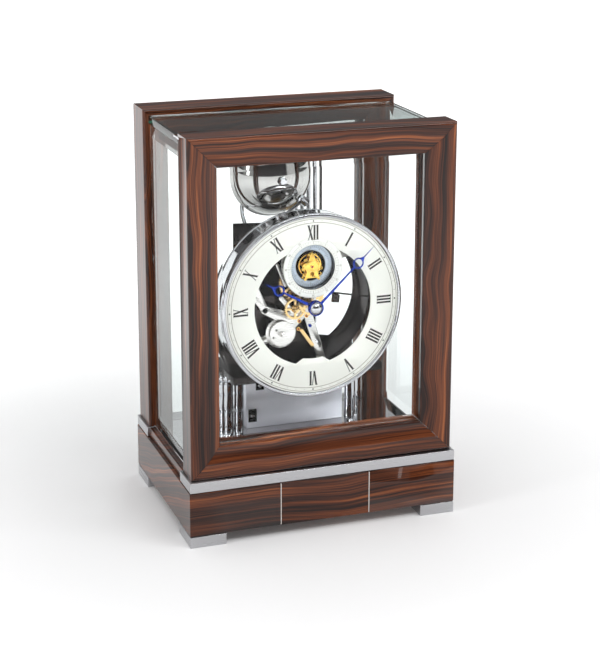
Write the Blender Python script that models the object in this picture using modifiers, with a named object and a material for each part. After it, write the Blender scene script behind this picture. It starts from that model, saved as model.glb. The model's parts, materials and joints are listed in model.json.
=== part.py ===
"""Mantel clock in a glazed wooden case, with a skeleton dial, a tourbillon, a bell and four gong rods.

Metres, +Z up.  The origin is on the surface the clock stands on, under the middle of the plinth.
The door faces -Y and +X is to the right of someone who reads the dial.
Every movement part is drawn in the plane of the dial: x to the right, y up, z towards the reader.
"""
import math

import bmesh
import bpy
from mathutils import Matrix, Vector

# ---------------------------------------------------------------- driving dimensions
WIDTH = 0.266             # plinth, left to right
DEPTH = 0.197             # plinth, front to back
HEIGHT = 0.386            # top of the door
GAP = 0.0003              # clearance between pieces that touch
TURNED_TWIST = 0.13       # radians

FOOT = (0.035, 0.040, 0.011)
PLINTH_TOP = 0.054
SILL_TOP = 0.064
SILL_INSET = 0.0005
FLOOR_THICKNESS = 0.004
FLOOR_HALF = 0.1262
INLAY_X = 0.0443
INLAY = (0.0008, 0.0010)  # width, depth

FRAME_HALF = 0.130        # door and back frame, half width
RAIL = 0.0295             # face width of a rail or stile
DOOR_FRONT = -0.0952
DOOR_DEPTH = 0.030
BACK_FRONT = 0.0590
BACK_DEPTH = 0.0380
GROOVE = 0.0050           # depth of the glazing groove
PANE = 0.0050
PANE_FROM_FRONT = 0.0123  # door's pane, behind the front of its frame
SIDE_PANE_X = 0.125       # outer face of the side panes
BEVEL_WIDTH = 0.0150
BEVEL_DEPTH = 0.0021
ROOF_BOTTOM = 0.372
ROOF_TOP = 0.380

PIVOT = (-0.1275, -0.0668)   # door's hinge axis, seen from above
PIN_R = 0.00125
BORE_R = 0.00138

DIAL_Z = 0.212            # height of the hands' axis
DIAL_Y = -0.0605          # back of the dial
DIAL_R = 0.0856
OPENING_R = 0.0580
SUB_Z = 0.0375            # tourbillon axis above the hands' axis
SUB_R = 0.0295
SUB_HOLE_R = 0.0218
BEZEL_R = 0.0895
DRUM_R = 0.0870
DRUM_WALL = 0.0020
DRUM_BACK = -0.0300

SEAT_TOP = 0.1377
SEAT_THICKNESS = 0.008
SEAT_FRONT = -0.0295
SEAT_BACK = 0.0370
COLUMNS = {               # x, y of the four columns
    "left_outer": (-0.0606, 0.0170), "left_inner": (-0.0497, 0.0170),
    "right_inner": (0.0668, 0.0170), "right_outer": (0.0755, 0.0290),
}
SEAT_X = (-0.0690, 0.0840)
PEDESTAL = (-0.0430, 0.0580)   # left and right edges
PEDESTAL_FRONT = 0.0135
PLATE = 0.0020
FRONT_PLATE_Y = -0.0440   # back face of the front plate
REAR_PLATE_Y = -0.0060    # back face of the rear plate
SHIELD_R = 0.0625         # curved dust shield on the rear plate, round the movement's right side
SHIELD_WALL = 0.0012
SHIELD_DEG = (-82, 47)    # its ends, counter-clockwise from three o'clock

MODULE = 0.0008           # going train behind the front plate
BARREL_MODULE = 0.0013
MINUTE_MODULE = 0.00072   # motion work in front of the front plate
HOUR_MODULE = 0.00072
CENTRE_TEETH = 48
THIRD_TEETH = 45
BARREL_TEETH = 54
LEAF = 6                  # teeth of each going-train pinion
CANNON_TEETH = 10
MINUTE_TEETH = 30
HOUR_TEETH = 32
HOUR_PINION_TEETH = 8

MINUTE_HAND_DEG = 46.0    # clockwise from twelve
HOUR_HAND_DEG = 299.0
BELL = (-0.0140, 0.3230)  # x, z of its axis
BELL_R = 0.0415
BELL_APEX_Y = -0.0120
GONG_Y = 0.0415
GONG_X = 0.0282           # middle of the four rods
GONG_PITCH = 0.0067
GONG_R = 0.0022
GONG_TOP = 0.3450
HAMMER_AXIS = (0.0270, 0.2270)   # y, z of the chime hammers' arbor


# ---------------------------------------------------------------- materials
def material(name, colour, roughness, metallic=0.0, alpha=1.0):
    made = bpy.data.materials.new(name)
    made.use_nodes = True
    shader = made.node_tree.nodes["Principled BSDF"]
    shader.inputs["Base Color"].default_value = (*colour, 1.0)
    shader.inputs["Roughness"].default_value = roughness
    shader.inputs["Metallic"].default_value = metallic
    shader.inputs["Alpha"].default_value = alpha
    made.diffuse_color = (*colour, alpha)
    return made


def make_materials():
    return {
        "macassar": material("macassar", (0.10, 0.035, 0.02), 0.15),
        "satin_steel": material("satin_steel", (0.62, 0.62, 0.63), 0.35, 1.0),
        "inlay": material("inlay", (0.80, 0.76, 0.72), 0.30, 1.0),
        "mirror": material("mirror", (0.85, 0.85, 0.87), 0.05, 1.0),
        "clear_glass": material("clear_glass", (0.85, 0.92, 0.90), 0.02, 0.0, 0.35),
        "chrome": material("chrome", (0.80, 0.80, 0.82), 0.06, 1.0),
        "nickel": material("nickel", (0.78, 0.76, 0.72), 0.25, 1.0),
        "dark_plate": material("dark_plate", (0.10, 0.09, 0.09), 0.35, 0.6),
        "dial": material("dial", (0.88, 0.87, 0.82), 0.35, 0.2),
        "blued_steel": material("blued_steel", (0.01, 0.03, 0.22), 0.20, 0.8),
        "brass": material("brass", (0.80, 0.58, 0.28), 0.25, 1.0),
        "gold": material("gold", (0.90, 0.60, 0.18), 0.18, 1.0),
    }


# ---------------------------------------------------------------- modelling helpers
def link(name, mesh, finish):
    obj = bpy.data.objects.new(name, mesh)
    obj.data.materials.append(finish)
    CLOCK.objects.link(obj)
    return obj


def from_bmesh(name, shape, finish):
    bmesh.ops.recalc_face_normals(shape, faces=shape.faces)
    mesh = bpy.data.meshes.new(name)
    shape.to_mesh(mesh)
    shape.free()
    return link(name, mesh, finish)


def apply_modifiers(obj):
    """Replace an object's mesh by its evaluated mesh."""
    graph = bpy.context.evaluated_depsgraph_get()
    mesh = bpy.data.meshes.new_from_object(obj.evaluated_get(graph))
    obj.modifiers.clear()
    obj.data = mesh


def combine(base, others, operation):
    """Union or difference of closed meshes; the other objects are used up."""
    for other in others:
        boolean = base.modifiers.new(operation.lower(), "BOOLEAN")
        boolean.operation = operation
        boolean.object = other
        boolean.solver = "EXACT"
        bpy.context.view_layer.update()
        apply_modifiers(base)
        weld(base.data)
        bpy.data.objects.remove(other)
    return base


def weld(mesh):
    """Join points that lie on each other."""
    shape = bmesh.new()
    shape.from_mesh(mesh)
    bmesh.ops.remove_doubles(shape, verts=shape.verts, dist=1e-6)
    shape.to_mesh(mesh)
    shape.free()


def box(name, low, high, finish, edge=0.0, segments=2):
    """A block between two corners, with its edges rounded by edge."""
    low, high = Vector(low), Vector(high)
    size = high - low
    shape = bmesh.new()
    bmesh.ops.create_cube(shape, size=1.0)
    bmesh.ops.scale(shape, vec=size, verts=shape.verts)
    obj = from_bmesh(name, shape, finish)
    obj.location = (low + high) / 2
    if edge:
        rounding = obj.modifiers.new("rounded_edges", "BEVEL")
        rounding.width = edge
        rounding.segments = segments
        rounding.limit_method = "ANGLE"
    return obj


def arc(radius, start, end, steps, centre=(0.0, 0.0)):
    """Points on a circle from start to end degrees, counter-clockwise from +x."""
    points = []
    for i in range(steps + 1):
        turn = math.radians(start + (end - start) * i / steps)
        points.append((centre[0] + radius * math.cos(turn), centre[1] + radius * math.sin(turn)))
    return points


def circle(radius, centre=(0.0, 0.0), steps=18):
    return arc(radius, 0, 360, steps, centre)[:-1]


def capsule(start, end, radius, steps=5):
    """A bar with round ends."""
    turn = math.degrees(math.atan2(end[1] - start[1], end[0] - start[0]))
    return arc(radius, turn - 90, turn + 90, steps, end) + arc(radius, turn + 90, turn + 270, steps, start)


def turned_about(points, degrees):
    """Points turned clockwise about the origin, as the hands turn."""
    turn = math.radians(degrees)
    cos, sin = math.cos(turn), math.sin(turn)
    return [(x * cos + y * sin, y * cos - x * sin) for x, y in points]


def sheet(name, loops, back, thickness, finish, at=(0.0, DIAL_Z)):
    """Closed outlines, and holes inside them, cut from a sheet that lies parallel to the dial.

    back is the y of the sheet's rear face.
    """
    curve = bpy.data.curves.new(name, "CURVE")
    curve.dimensions = "2D"
    curve.fill_mode = "BOTH"
    curve.extrude = thickness / 2
    for loop in loops:
        spline = curve.splines.new("POLY")
        spline.points.add(len(loop) - 1)
        for point, (x, y) in zip(spline.points, loop):
            point.co = (x, y, 0.0, 1.0)
        spline.use_cyclic_u = True
    drawn = bpy.data.objects.new(name, curve)
    CLOCK.objects.link(drawn)
    bpy.context.view_layer.update()
    graph = bpy.context.evaluated_depsgraph_get()
    mesh = bpy.data.meshes.new_from_object(drawn.evaluated_get(graph))
    bpy.data.objects.remove(drawn)
    shape = bmesh.new()
    shape.from_mesh(mesh)
    bmesh.ops.remove_doubles(shape, verts=shape.verts, dist=1e-7)
    obj = from_bmesh(name, shape, finish)
    return face_front(obj, (at[0], back - thickness / 2, at[1]))


def face_front(obj, place):
    """Put a shape drawn in the dial's plane in its place in the clock."""
    obj.matrix_world = Matrix.Translation(place) @ Matrix.Rotation(math.radians(90), 4, "X")
    return obj


def turned(name, profile, finish, place, upright=False, steps=24):
    """A turned shape; profile runs from its top, or its front, down its outer side as (radius, height).

    A ring's profile comes back to its first point.
    """
    shape = bmesh.new()
    ring = profile[0] == profile[-1]
    verts = [shape.verts.new((radius, 0.0, height)) for radius, height in (profile[:-1] if ring else profile)]
    for first, second in zip(verts, verts[1:] + (verts[:1] if ring else [])):
        shape.edges.new((first, second))
    mesh = bpy.data.meshes.new(name)
    shape.to_mesh(mesh)
    shape.free()
    obj = link(name, mesh, finish)
    screw = obj.modifiers.new("turning", "SCREW")
    screw.steps = steps
    screw.render_steps = steps
    screw.use_merge_vertices = True
    screw.merge_threshold = 1e-6
    screw.use_smooth_shade = False
    bpy.context.view_layer.update()
    apply_modifiers(obj)
    # its flats don't line up with those of the shapes it is joined to
    obj.data.transform(Matrix.Rotation(TURNED_TWIST, 4, "Z"))
    if upright:
        obj.location = place
        return obj
    return face_front(obj, place)


def rod(name, radius, front, back, finish, at=(0.0, DIAL_Z), steps=12):
    """A round bar along Y between two y values."""
    length = back - front
    profile = [(0.0, length), (radius, length), (radius, 0.0), (0.0, 0.0)]
    return turned(name, profile, finish, (at[0], back, at[1]), steps=steps)


def wire(name, points, radius, finish):
    """A round bar along a smooth line through points in the clock's own axes."""
    curve = bpy.data.curves.new(name, "CURVE")
    curve.dimensions = "3D"
    curve.bevel_depth = radius
    curve.bevel_resolution = 2
    curve.use_fill_caps = True
    spline = curve.splines.new("POLY")
    smooth = smooth_line(points)
    spline.points.add(len(smooth) - 1)
    for point, place in zip(spline.points, smooth):
        point.co = (*place, 1.0)
    drawn = bpy.data.objects.new(name, curve)
    CLOCK.objects.link(drawn)
    bpy.context.view_layer.update()
    graph = bpy.context.evaluated_depsgraph_get()
    mesh = bpy.data.meshes.new_from_object(drawn.evaluated_get(graph))
    bpy.data.objects.remove(drawn)
    shape = bmesh.new()
    shape.from_mesh(mesh)
    bmesh.ops.remove_doubles(shape, verts=shape.verts, dist=1e-7)
    return from_bmesh(name, shape, finish)


def smooth_line(points, steps=3):
    """Catmull-Rom points through a short list of places."""
    places = [Vector(p) for p in points]
    padded = [places[0]] + places + [places[-1]]
    line = []
    for before, start, end, after in zip(padded, padded[1:], padded[2:], padded[3:]):
        for i in range(steps):
            t = i / steps
            line.append(
                0.5 * (2 * start + (end - before) * t
                       + (2 * before - 5 * start + 4 * end - after) * t * t
                       + (3 * start - before - 3 * end + after) * t ** 3)
            )
    return line + [places[-1]]


# ---------------------------------------------------------------- gears
def gear_outline(teeth, module, phase=0.0):
    """Teeth with running clearance, pointed on a wheel and flat-topped on a pinion.

    phase is in teeth, counter-clockwise.
    """
    pitch = 2 * math.pi / teeth
    root = module * (teeth / 2 - 1.15)
    tip = module * (teeth / 2 + 0.80)
    tooth_points = ((root, -0.28), (tip, 0.0), (root, 0.28))
    if teeth <= CANNON_TEETH:
        tooth_points = ((root, -0.25), (tip, -0.08), (tip, 0.08), (root, 0.25))
    points = []
    for tooth in range(teeth):
        middle = (tooth + phase) * pitch
        for radius, side in tooth_points:
            turn = middle + side * pitch
            points.append((radius * math.cos(turn), radius * math.sin(turn)))
    return points


def spoke_windows(count, inner, outer, bar, steps=4):
    """The openings between the spokes of a crossed-out wheel."""
    windows = []
    for i in range(count):
        middle = 360 * (i + 0.5) / count
        half_out = 180 / count - math.degrees(bar / 2 / outer)
        half_in = 180 / count - math.degrees(bar / 2 / inner)
        windows.append(
            arc(outer, middle - half_out, middle + half_out, steps)
            + arc(inner, middle + half_in, middle - half_in, steps // 2)
        )
    return windows


def mesh_phase(angle, leader_teeth, leader_phase, follower_teeth):
    """Phase of a gear that meshes with a leader which lies at angle degrees from the gear's own axis."""
    contact = math.radians(angle) + math.pi
    leader_tooth = contact * leader_teeth / (2 * math.pi) - leader_phase
    follower_tooth = math.radians(angle) * follower_teeth / (2 * math.pi)
    return (follower_tooth + leader_tooth + 0.5) % 1.0


def direction(start, end):
    return math.degrees(math.atan2(end[1] - start[1], end[0] - start[0]))


# ---------------------------------------------------------------- case
def make_base(finish):
    half_w, half_d = WIDTH / 2, DEPTH / 2
    for side, name_x in ((-1, "left"), (1, "right")):
        for end, name_y in ((-1, "front"), (1, "rear")):
            outer = Vector((side * half_w, end * half_d, 0.0))
            inner = Vector((side * (half_w - FOOT[0]), end * (half_d - FOOT[1]), FOOT[2] - GAP))
            low = (min(outer.x, inner.x), min(outer.y, inner.y), 0.0)
            high = (max(outer.x, inner.x), max(outer.y, inner.y), inner.z)
            box(f"foot_{name_y}_{name_x}", low, high, finish["satin_steel"], 0.0006)
    plinth = box("plinth", (-half_w, -half_d, FOOT[2]), (half_w, half_d, PLINTH_TOP),
                 finish["macassar"], 0.0009)
    apply_after_update(plinth)
    for side, name in ((-1, "left"), (1, "right")):
        middle = side * INLAY_X
        groove = box("groove", (middle - INLAY[0] / 2 - GAP, -half_d - GAP, 0.0),
                     (middle + INLAY[0] / 2 + GAP, -half_d + INLAY[1] + GAP, HEIGHT), finish["inlay"])
        combine(plinth, [groove], "DIFFERENCE")
        box(f"inlay_{name}", (middle - INLAY[0] / 2, -half_d, FOOT[2] + 0.0009),
            (middle + INLAY[0] / 2, -half_d + INLAY[1], PLINTH_TOP - 0.0009), finish["inlay"])
    sill_half = half_w - SILL_INSET
    sill_bottom = PLINTH_TOP + GAP
    sill = box("sill_front", (-sill_half, -half_d, sill_bottom), (sill_half, -0.0625, SILL_TOP),
               finish["satin_steel"], 0.0005)
    apply_after_update(sill)
    bore = turned("bore", [(0.0, 0.02), (BORE_R, 0.02), (BORE_R, 0.0), (0.0, 0.0)],
                  finish["satin_steel"], (PIVOT[0], PIVOT[1], SILL_TOP - 0.006), upright=True, steps=24)
    combine(sill, [bore], "DIFFERENCE")
    box("sill_rear", (-sill_half, BACK_FRONT - GAP, sill_bottom), (sill_half, half_d, SILL_TOP),
        finish["satin_steel"], 0.0005)
    box("case_floor", (-FRAME_HALF, -0.0622, sill_bottom), (FRAME_HALF, BACK_FRONT - 2 * GAP, SILL_TOP),
        finish["macassar"], 0.0008)
    box("floor_plate", (-FLOOR_HALF, -0.0622, SILL_TOP + GAP),
        (FLOOR_HALF, BACK_FRONT - 2 * GAP, SILL_TOP + FLOOR_THICKNESS), finish["mirror"], 0.0004, 1)


def apply_after_update(obj):
    bpy.context.view_layer.update()
    apply_modifiers(obj)


def rail_profile(depth, groove_from):
    """Section of a rail: u runs in from its outer edge, v runs back from its front."""
    corner = 0.0026
    points = [(u, v + 0.0004) for u, v in arc(corner, 180, 270, 4, (corner, corner))]
    crest = 0.010
    fall = 0.0068
    last = RAIL - 0.0012
    for i in range(1, 8):
        u = crest + (last - crest) * i / 7
        points.append((u, 0.0004 + fall * ((u - crest) / (last - crest)) ** 2))
    points.append((RAIL, 0.0004 + fall + 0.0016))
    points += [
        (RAIL, groove_from), (RAIL - GROOVE, groove_from),
        (RAIL - GROOVE, groove_from + PANE + 2 * GAP), (RAIL, groove_from + PANE + 2 * GAP),
        (RAIL, depth), (0.0, depth),
    ]
    return points


def rail(name, length, depth, groove_from, place, inward, mitred, finish):
    """A moulded rail, mitred at its start and end where mitred says so.

    place is the middle of its outer front edge, and inward points to the middle of the frame.
    """
    shape = bmesh.new()
    ends = []
    for sign, cut in ((-1, mitred[0]), (1, mitred[1])):
        loop = []
        for u, v in rail_profile(depth, groove_from):
            reach = length / 2 - (u + GAP / 2 if cut else 0.0)
            loop.append(shape.verts.new((sign * reach, u, v)))
        ends.append(loop)
        shape.faces.new(loop)
    count = len(ends[0])
    for i in range(count):
        j = (i + 1) % count
        shape.faces.new((ends[0][i], ends[0][j], ends[1][j], ends[1][i]))
    obj = from_bmesh(name, shape, finish["macassar"])
    inward, back = Vector(inward), Vector((0.0, 1.0, 0.0))
    along = inward.cross(back)
    turn = Matrix((along, inward, back)).transposed().to_4x4()
    obj.matrix_world = Matrix.Translation(place) @ turn
    return obj


def bevelled_pane(name, width, height, place, outward, finish):
    """A plate of glass whose outward face falls away in a wide bevel round its edge."""
    shape = bmesh.new()
    bmesh.ops.create_cube(shape, size=1.0)
    bmesh.ops.scale(shape, vec=(width, height, PANE - BEVEL_DEPTH), verts=shape.verts)
    bmesh.ops.translate(shape, vec=(0.0, 0.0, (PANE - BEVEL_DEPTH) / 2), verts=shape.verts)
    shape.faces.ensure_lookup_table()
    face = max(shape.faces, key=lambda f: f.calc_center_median().z)
    bmesh.ops.inset_region(shape, faces=[face], thickness=BEVEL_WIDTH, depth=BEVEL_DEPTH)
    obj = from_bmesh(name, shape, finish["clear_glass"])
    outward = Vector(outward)
    up = Vector((0.0, 0.0, 1.0))
    turn = Matrix((up.cross(outward), up, outward)).transposed().to_4x4()
    obj.matrix_world = Matrix.Translation(place) @ turn
    return obj


def make_door(finish):
    bottom = SILL_TOP + GAP
    height = HEIGHT - bottom
    middle = (HEIGHT + bottom) / 2
    both = (True, True)
    groove = PANE_FROM_FRONT - GAP
    top_rail = rail("door_rail_top", 2 * FRAME_HALF, DOOR_DEPTH, groove, (0, DOOR_FRONT, HEIGHT),
                    (0, 0, -1), both, finish)
    bottom_rail = rail("door_rail_bottom", 2 * FRAME_HALF, DOOR_DEPTH, groove, (0, DOOR_FRONT, bottom),
                       (0, 0, 1), both, finish)
    left = rail("door_stile_left", height, DOOR_DEPTH, groove, (-FRAME_HALF, DOOR_FRONT, middle),
                (1, 0, 0), both, finish)
    rail("door_stile_right", height, DOOR_DEPTH, groove, (FRAME_HALF, DOOR_FRONT, middle),
         (-1, 0, 0), both, finish)
    reach = RAIL - GROOVE + GAP
    bevelled_pane("door_glass", 2 * (FRAME_HALF - reach), height - 2 * reach,
                  (0.0, DOOR_FRONT + PANE_FROM_FRONT + PANE, middle), (0, -1, 0), finish)
    lower = [(0.0, 0.008), (BORE_R, 0.008), (BORE_R, -0.002), (0.0, -0.002)]
    for wood in (bottom_rail, left):
        bore = turned("bore", lower, finish["chrome"], (PIVOT[0], PIVOT[1], bottom), upright=True, steps=24)
        combine(wood, [bore], "DIFFERENCE")
    for wood in (top_rail, left):
        notch = box("notch", (-FRAME_HALF - 0.001, PIVOT[1] - 0.0047, ROOF_TOP - 0.0002),
                    (PIVOT[0] + 0.0031, DOOR_FRONT + DOOR_DEPTH + 0.001, ROOF_TOP + 0.0028),
                    finish["chrome"])
        bore = turned("bore", [(0.0, 0.006), (BORE_R, 0.006), (BORE_R, -0.006), (0.0, -0.006)],
                      finish["chrome"], (PIVOT[0], PIVOT[1], ROOF_TOP - 0.002), upright=True, steps=24)
        combine(wood, [notch, bore], "DIFFERENCE")


def make_hinges(finish):
    """A pin in the sill under the door, and an arm on the roof whose pin drops into the door."""
    turned("hinge_pin_lower",
           [(0.0, 0.0120), (PIN_R * 0.6, 0.0120), (PIN_R, 0.0114), (PIN_R, 0.0), (0.0, 0.0)],
           finish["chrome"], (PIVOT[0], PIVOT[1], SILL_TOP - 0.0055), upright=True, steps=24)
    plate_bottom, plate_top = ROOF_TOP + GAP, ROOF_TOP + 0.0023
    arm = box("hinge_arm_upper", (-0.1240, -0.0615, plate_bottom), (-0.1060, -0.0440, plate_top),
              finish["chrome"])
    tongue = box("tongue", (PIVOT[0] - 0.0022, PIVOT[1], plate_bottom + 0.0002),
                 (PIVOT[0] + 0.0022, -0.0500, plate_top - 0.0002), finish["chrome"])
    bridge = box("bridge", (PIVOT[0] - 0.0015, -0.0612, plate_bottom + 0.0004),
                 (-0.1200, -0.0505, plate_top - 0.0004), finish["chrome"])
    eye = turned("eye", [(0.0, 0.0016), (0.0025, 0.0016), (0.0025, 0.0), (0.0, 0.0)], finish["chrome"],
                 (PIVOT[0], PIVOT[1], plate_bottom + 0.0001), upright=True, steps=24)
    pin = turned("pin", [(0.0, 0.0), (PIN_R, 0.0), (PIN_R, -0.0050), (0.0, -0.0050)], finish["chrome"],
                 (PIVOT[0], PIVOT[1], plate_bottom + 0.0010), upright=True, steps=24)
    combine(arm, [bridge, tongue, eye, pin], "UNION")


def make_glazed_case(finish):
    bottom = SILL_TOP + GAP
    height = HEIGHT - bottom
    middle = (HEIGHT + bottom) / 2
    groove = PANE_FROM_FRONT
    rail("back_rail_top", 2 * FRAME_HALF, BACK_DEPTH, groove, (0, BACK_FRONT, HEIGHT),
         (0, 0, -1), (True, True), finish)
    rail("back_stile_left", height, BACK_DEPTH, groove, (-FRAME_HALF, BACK_FRONT, middle),
         (1, 0, 0), (False, True), finish)
    rail("back_stile_right", height, BACK_DEPTH, groove, (FRAME_HALF, BACK_FRONT, middle),
         (-1, 0, 0), (True, False), finish)
    reach = RAIL - GROOVE + GAP
    pane_height = height - reach - GAP
    bevelled_pane("back_glass", 2 * (FRAME_HALF - reach), pane_height,
                  (0.0, BACK_FRONT + groove + GAP, bottom + GAP + pane_height / 2), (0, 1, 0), finish)
    front, back = DOOR_FRONT + DOOR_DEPTH + 0.0020, BACK_FRONT - GAP
    low = SILL_TOP + FLOOR_THICKNESS + GAP
    high = ROOF_BOTTOM - GAP
    place_y, place_z = (front + back) / 2, (low + high) / 2
    for side, name in ((-1, "left"), (1, "right")):
        bevelled_pane(f"glass_{name}", back - front, high - low,
                      (side * (SIDE_PANE_X - PANE), place_y, place_z), (side, 0, 0), finish)
    box("glass_top", (-SIDE_PANE_X, front, ROOF_BOTTOM), (SIDE_PANE_X, back, ROOF_TOP),
        finish["clear_glass"], 0.0008, 1)


# ---------------------------------------------------------------- what carries the movement
def make_stand(finish):
    floor = SILL_TOP + FLOOR_THICKNESS + GAP
    seat_bottom = SEAT_TOP - SEAT_THICKNESS
    top = seat_bottom - GAP - floor
    bulb = arc(0.0053, 60, -45, 5, (0.0, top - 0.0074))
    profile = [(0.0, top), (0.0048, top), (0.0048, top - 0.0016)]
    profile += bulb
    profile += [(0.0050, top - 0.0150), (0.0050, 0.0215), (0.0043, 0.0210), (0.0043, 0.0195),
                (0.0050, 0.0190), (0.0050, 0.0030), (0.0053, 0.0026), (0.0053, 0.0), (0.0, 0.0)]
    for place, (x, y) in COLUMNS.items():
        turned(f"column_{place}", profile, finish["chrome"], (x, y, floor), upright=True, steps=12)
    box("movement_seat", (SEAT_X[0], SEAT_FRONT, seat_bottom), (SEAT_X[1], SEAT_BACK, SEAT_TOP),
        finish["dark_plate"], 0.0010)
    make_pedestal(floor, seat_bottom - GAP, finish)


def make_pedestal(bottom, top, finish):
    """A channel of polished sheet between the columns, open to the back."""
    left, right = PEDESTAL
    front, depth, wall = PEDESTAL_FRONT, 0.0160, 0.0020
    plate = box("pedestal", (left, front, bottom), (right, front + wall, top), finish["satin_steel"])
    flanges = []
    for low_x in (left + GAP / 3, right - wall):
        flanges.append(box("flange", (low_x, front + GAP / 3, bottom + GAP),
                           (low_x + wall - GAP / 3, front + depth, top - GAP), finish["satin_steel"]))
    combine(plate, flanges, "UNION")


# ---------------------------------------------------------------- dial
def make_dial(finish):
    cross_y = (OPENING_R ** 2 - SUB_R ** 2 + SUB_Z ** 2) / (2 * SUB_Z)
    cross_x = math.sqrt(OPENING_R ** 2 - cross_y ** 2)
    right = math.degrees(math.atan2(cross_y, cross_x))
    sub_right = math.degrees(math.atan2(cross_y - SUB_Z, cross_x))
    tab_half, tab_top = 17.0, OPENING_R - 0.0062
    opening = arc(OPENING_R, right, -90 + tab_half, 26)
    opening += arc(tab_top, -90 + tab_half - 6, -90 - tab_half + 6, 8)
    opening += arc(OPENING_R, -90 - tab_half, -180 - right, 26)
    opening += arc(SUB_R, 180 - sub_right, 360 + sub_right, 30, (0.0, SUB_Z))[1:-1]
    aperture = circle(SUB_HOLE_R, (0.0, SUB_Z), 36)
    sheet("dial", [circle(DIAL_R, steps=64), opening, aperture], DIAL_Y, 0.0010, finish["dial"])
    front = 0.0035
    ring = [(DIAL_R + GAP, front - 0.0008), (DIAL_R + 0.0010, front), (DIAL_R + 0.0020, front),
            (DIAL_R + 0.0023, front - 0.0006), (DIAL_R + 0.0029, front - 0.0006),
            (BEZEL_R - 0.0002, front - 0.0014), (BEZEL_R, front - 0.0022), (BEZEL_R, 0.0),
            (DIAL_R + GAP, 0.0), (DIAL_R + GAP, front - 0.0008)]
    turned("dial_bezel", ring, finish["chrome"], (0.0, DIAL_Y + 0.0010, DIAL_Z), steps=48)
    drum_front = -DIAL_Y - 0.0010 - GAP + DRUM_BACK
    inner = DRUM_R - DRUM_WALL
    drum = [(inner, drum_front), (DRUM_R, drum_front), (DRUM_R, 0.0), (inner, 0.0), (inner, drum_front)]
    turned("dial_drum", drum, finish["chrome"], (0.0, DRUM_BACK, DIAL_Z), steps=48)


def hand_outline(hub, root_half, neck_half, ring_at, ring, tip):
    """A Breguet hand that points to twelve: hub, tapered bar, moon and tip."""
    half = []
    start = math.degrees(math.acos(root_half / hub))
    half += arc(hub, -90, start, 10)
    low = math.degrees(math.asin(-math.sqrt(1 - (neck_half / ring) ** 2)))
    half += arc(ring, low, 62, 12, (0.0, ring_at))
    half.append((0.0006, ring_at + ring + 0.0025))
    return half + [(0.0, tip)] + [(-x, y) for x, y in reversed(half[1:])]


def make_hands(finish):
    hour_back, minute_back = -0.0662, -0.0698
    thick = 0.0007
    hour = [hand_outline(0.0072, 0.0015, 0.0009, 0.0405, 0.0054, 0.0580),
            circle(0.0036, (0.0, 0.0406)), circle(0.0035)]
    sheet("hour_hand", [turned_about(loop, HOUR_HAND_DEG) for loop in hour], hour_back, thick,
          finish["blued_steel"])
    minute = [hand_outline(0.0074, 0.0013, 0.0008, 0.0580, 0.0054, 0.0815),
              circle(0.0039, (0.0, 0.0581)), circle(0.0019)]
    sheet("minute_hand", [turned_about(loop, MINUTE_HAND_DEG) for loop in minute], minute_back, thick,
          finish["blued_steel"])
    cap = [(0.0, 0.0036)] + arc(0.0072, 78, 34, 4, (0.0, -0.0036))
    cap += [(0.0062, 0.0), (0.0, 0.0)]
    turned("hand_cap", cap, finish["chrome"], (0.0, minute_back - thick - GAP, DIAL_Z), steps=24)


# ---------------------------------------------------------------- movement
def bars(name, pieces, back, finish, thickness=PLATE):
    """Bars and discs fused into one openwork plate; each lies a hair behind the one before it."""
    made = []
    for i, loop in enumerate(pieces):
        made.append(sheet(name, [loop], back - 0.00002 * i, thickness - 0.00003 * i, finish))
    made[0].name = name
    return combine(made[0], made[1:], "UNION")


def bore_plate(plate, holes, finish):
    """Round holes (x, y, radius) right through a plate parallel to the dial."""
    y = plate.matrix_world.translation.y
    drills = []
    for x, z, radius in holes:
        drills.append(rod("drill", radius, y - 0.01, y + 0.01, finish, (x, DIAL_Z + z)))
    return combine(plate, drills, "DIFFERENCE")


def train_places():
    """Where the train's arbors stand, measured from the hands' axis."""
    centre_third = MODULE * (CENTRE_TEETH + LEAF) / 2
    third_cage = MODULE * (THIRD_TEETH + LEAF) / 2
    up = (centre_third ** 2 - third_cage ** 2 + SUB_Z ** 2) / (2 * SUB_Z)
    third = (-math.sqrt(centre_third ** 2 - up ** 2), up)
    barrel_away = BARREL_MODULE * (BARREL_TEETH + LEAF) / 2
    turn = math.radians(226)
    barrel = (barrel_away * math.cos(turn), barrel_away * math.sin(turn))
    minute_away = MINUTE_MODULE * (CANNON_TEETH + MINUTE_TEETH) / 2
    turn = math.radians(200)
    minute = (minute_away * math.cos(turn), minute_away * math.sin(turn))
    return {"third": third, "barrel": barrel, "minute": minute, "cage": (0.0, SUB_Z)}


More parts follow.
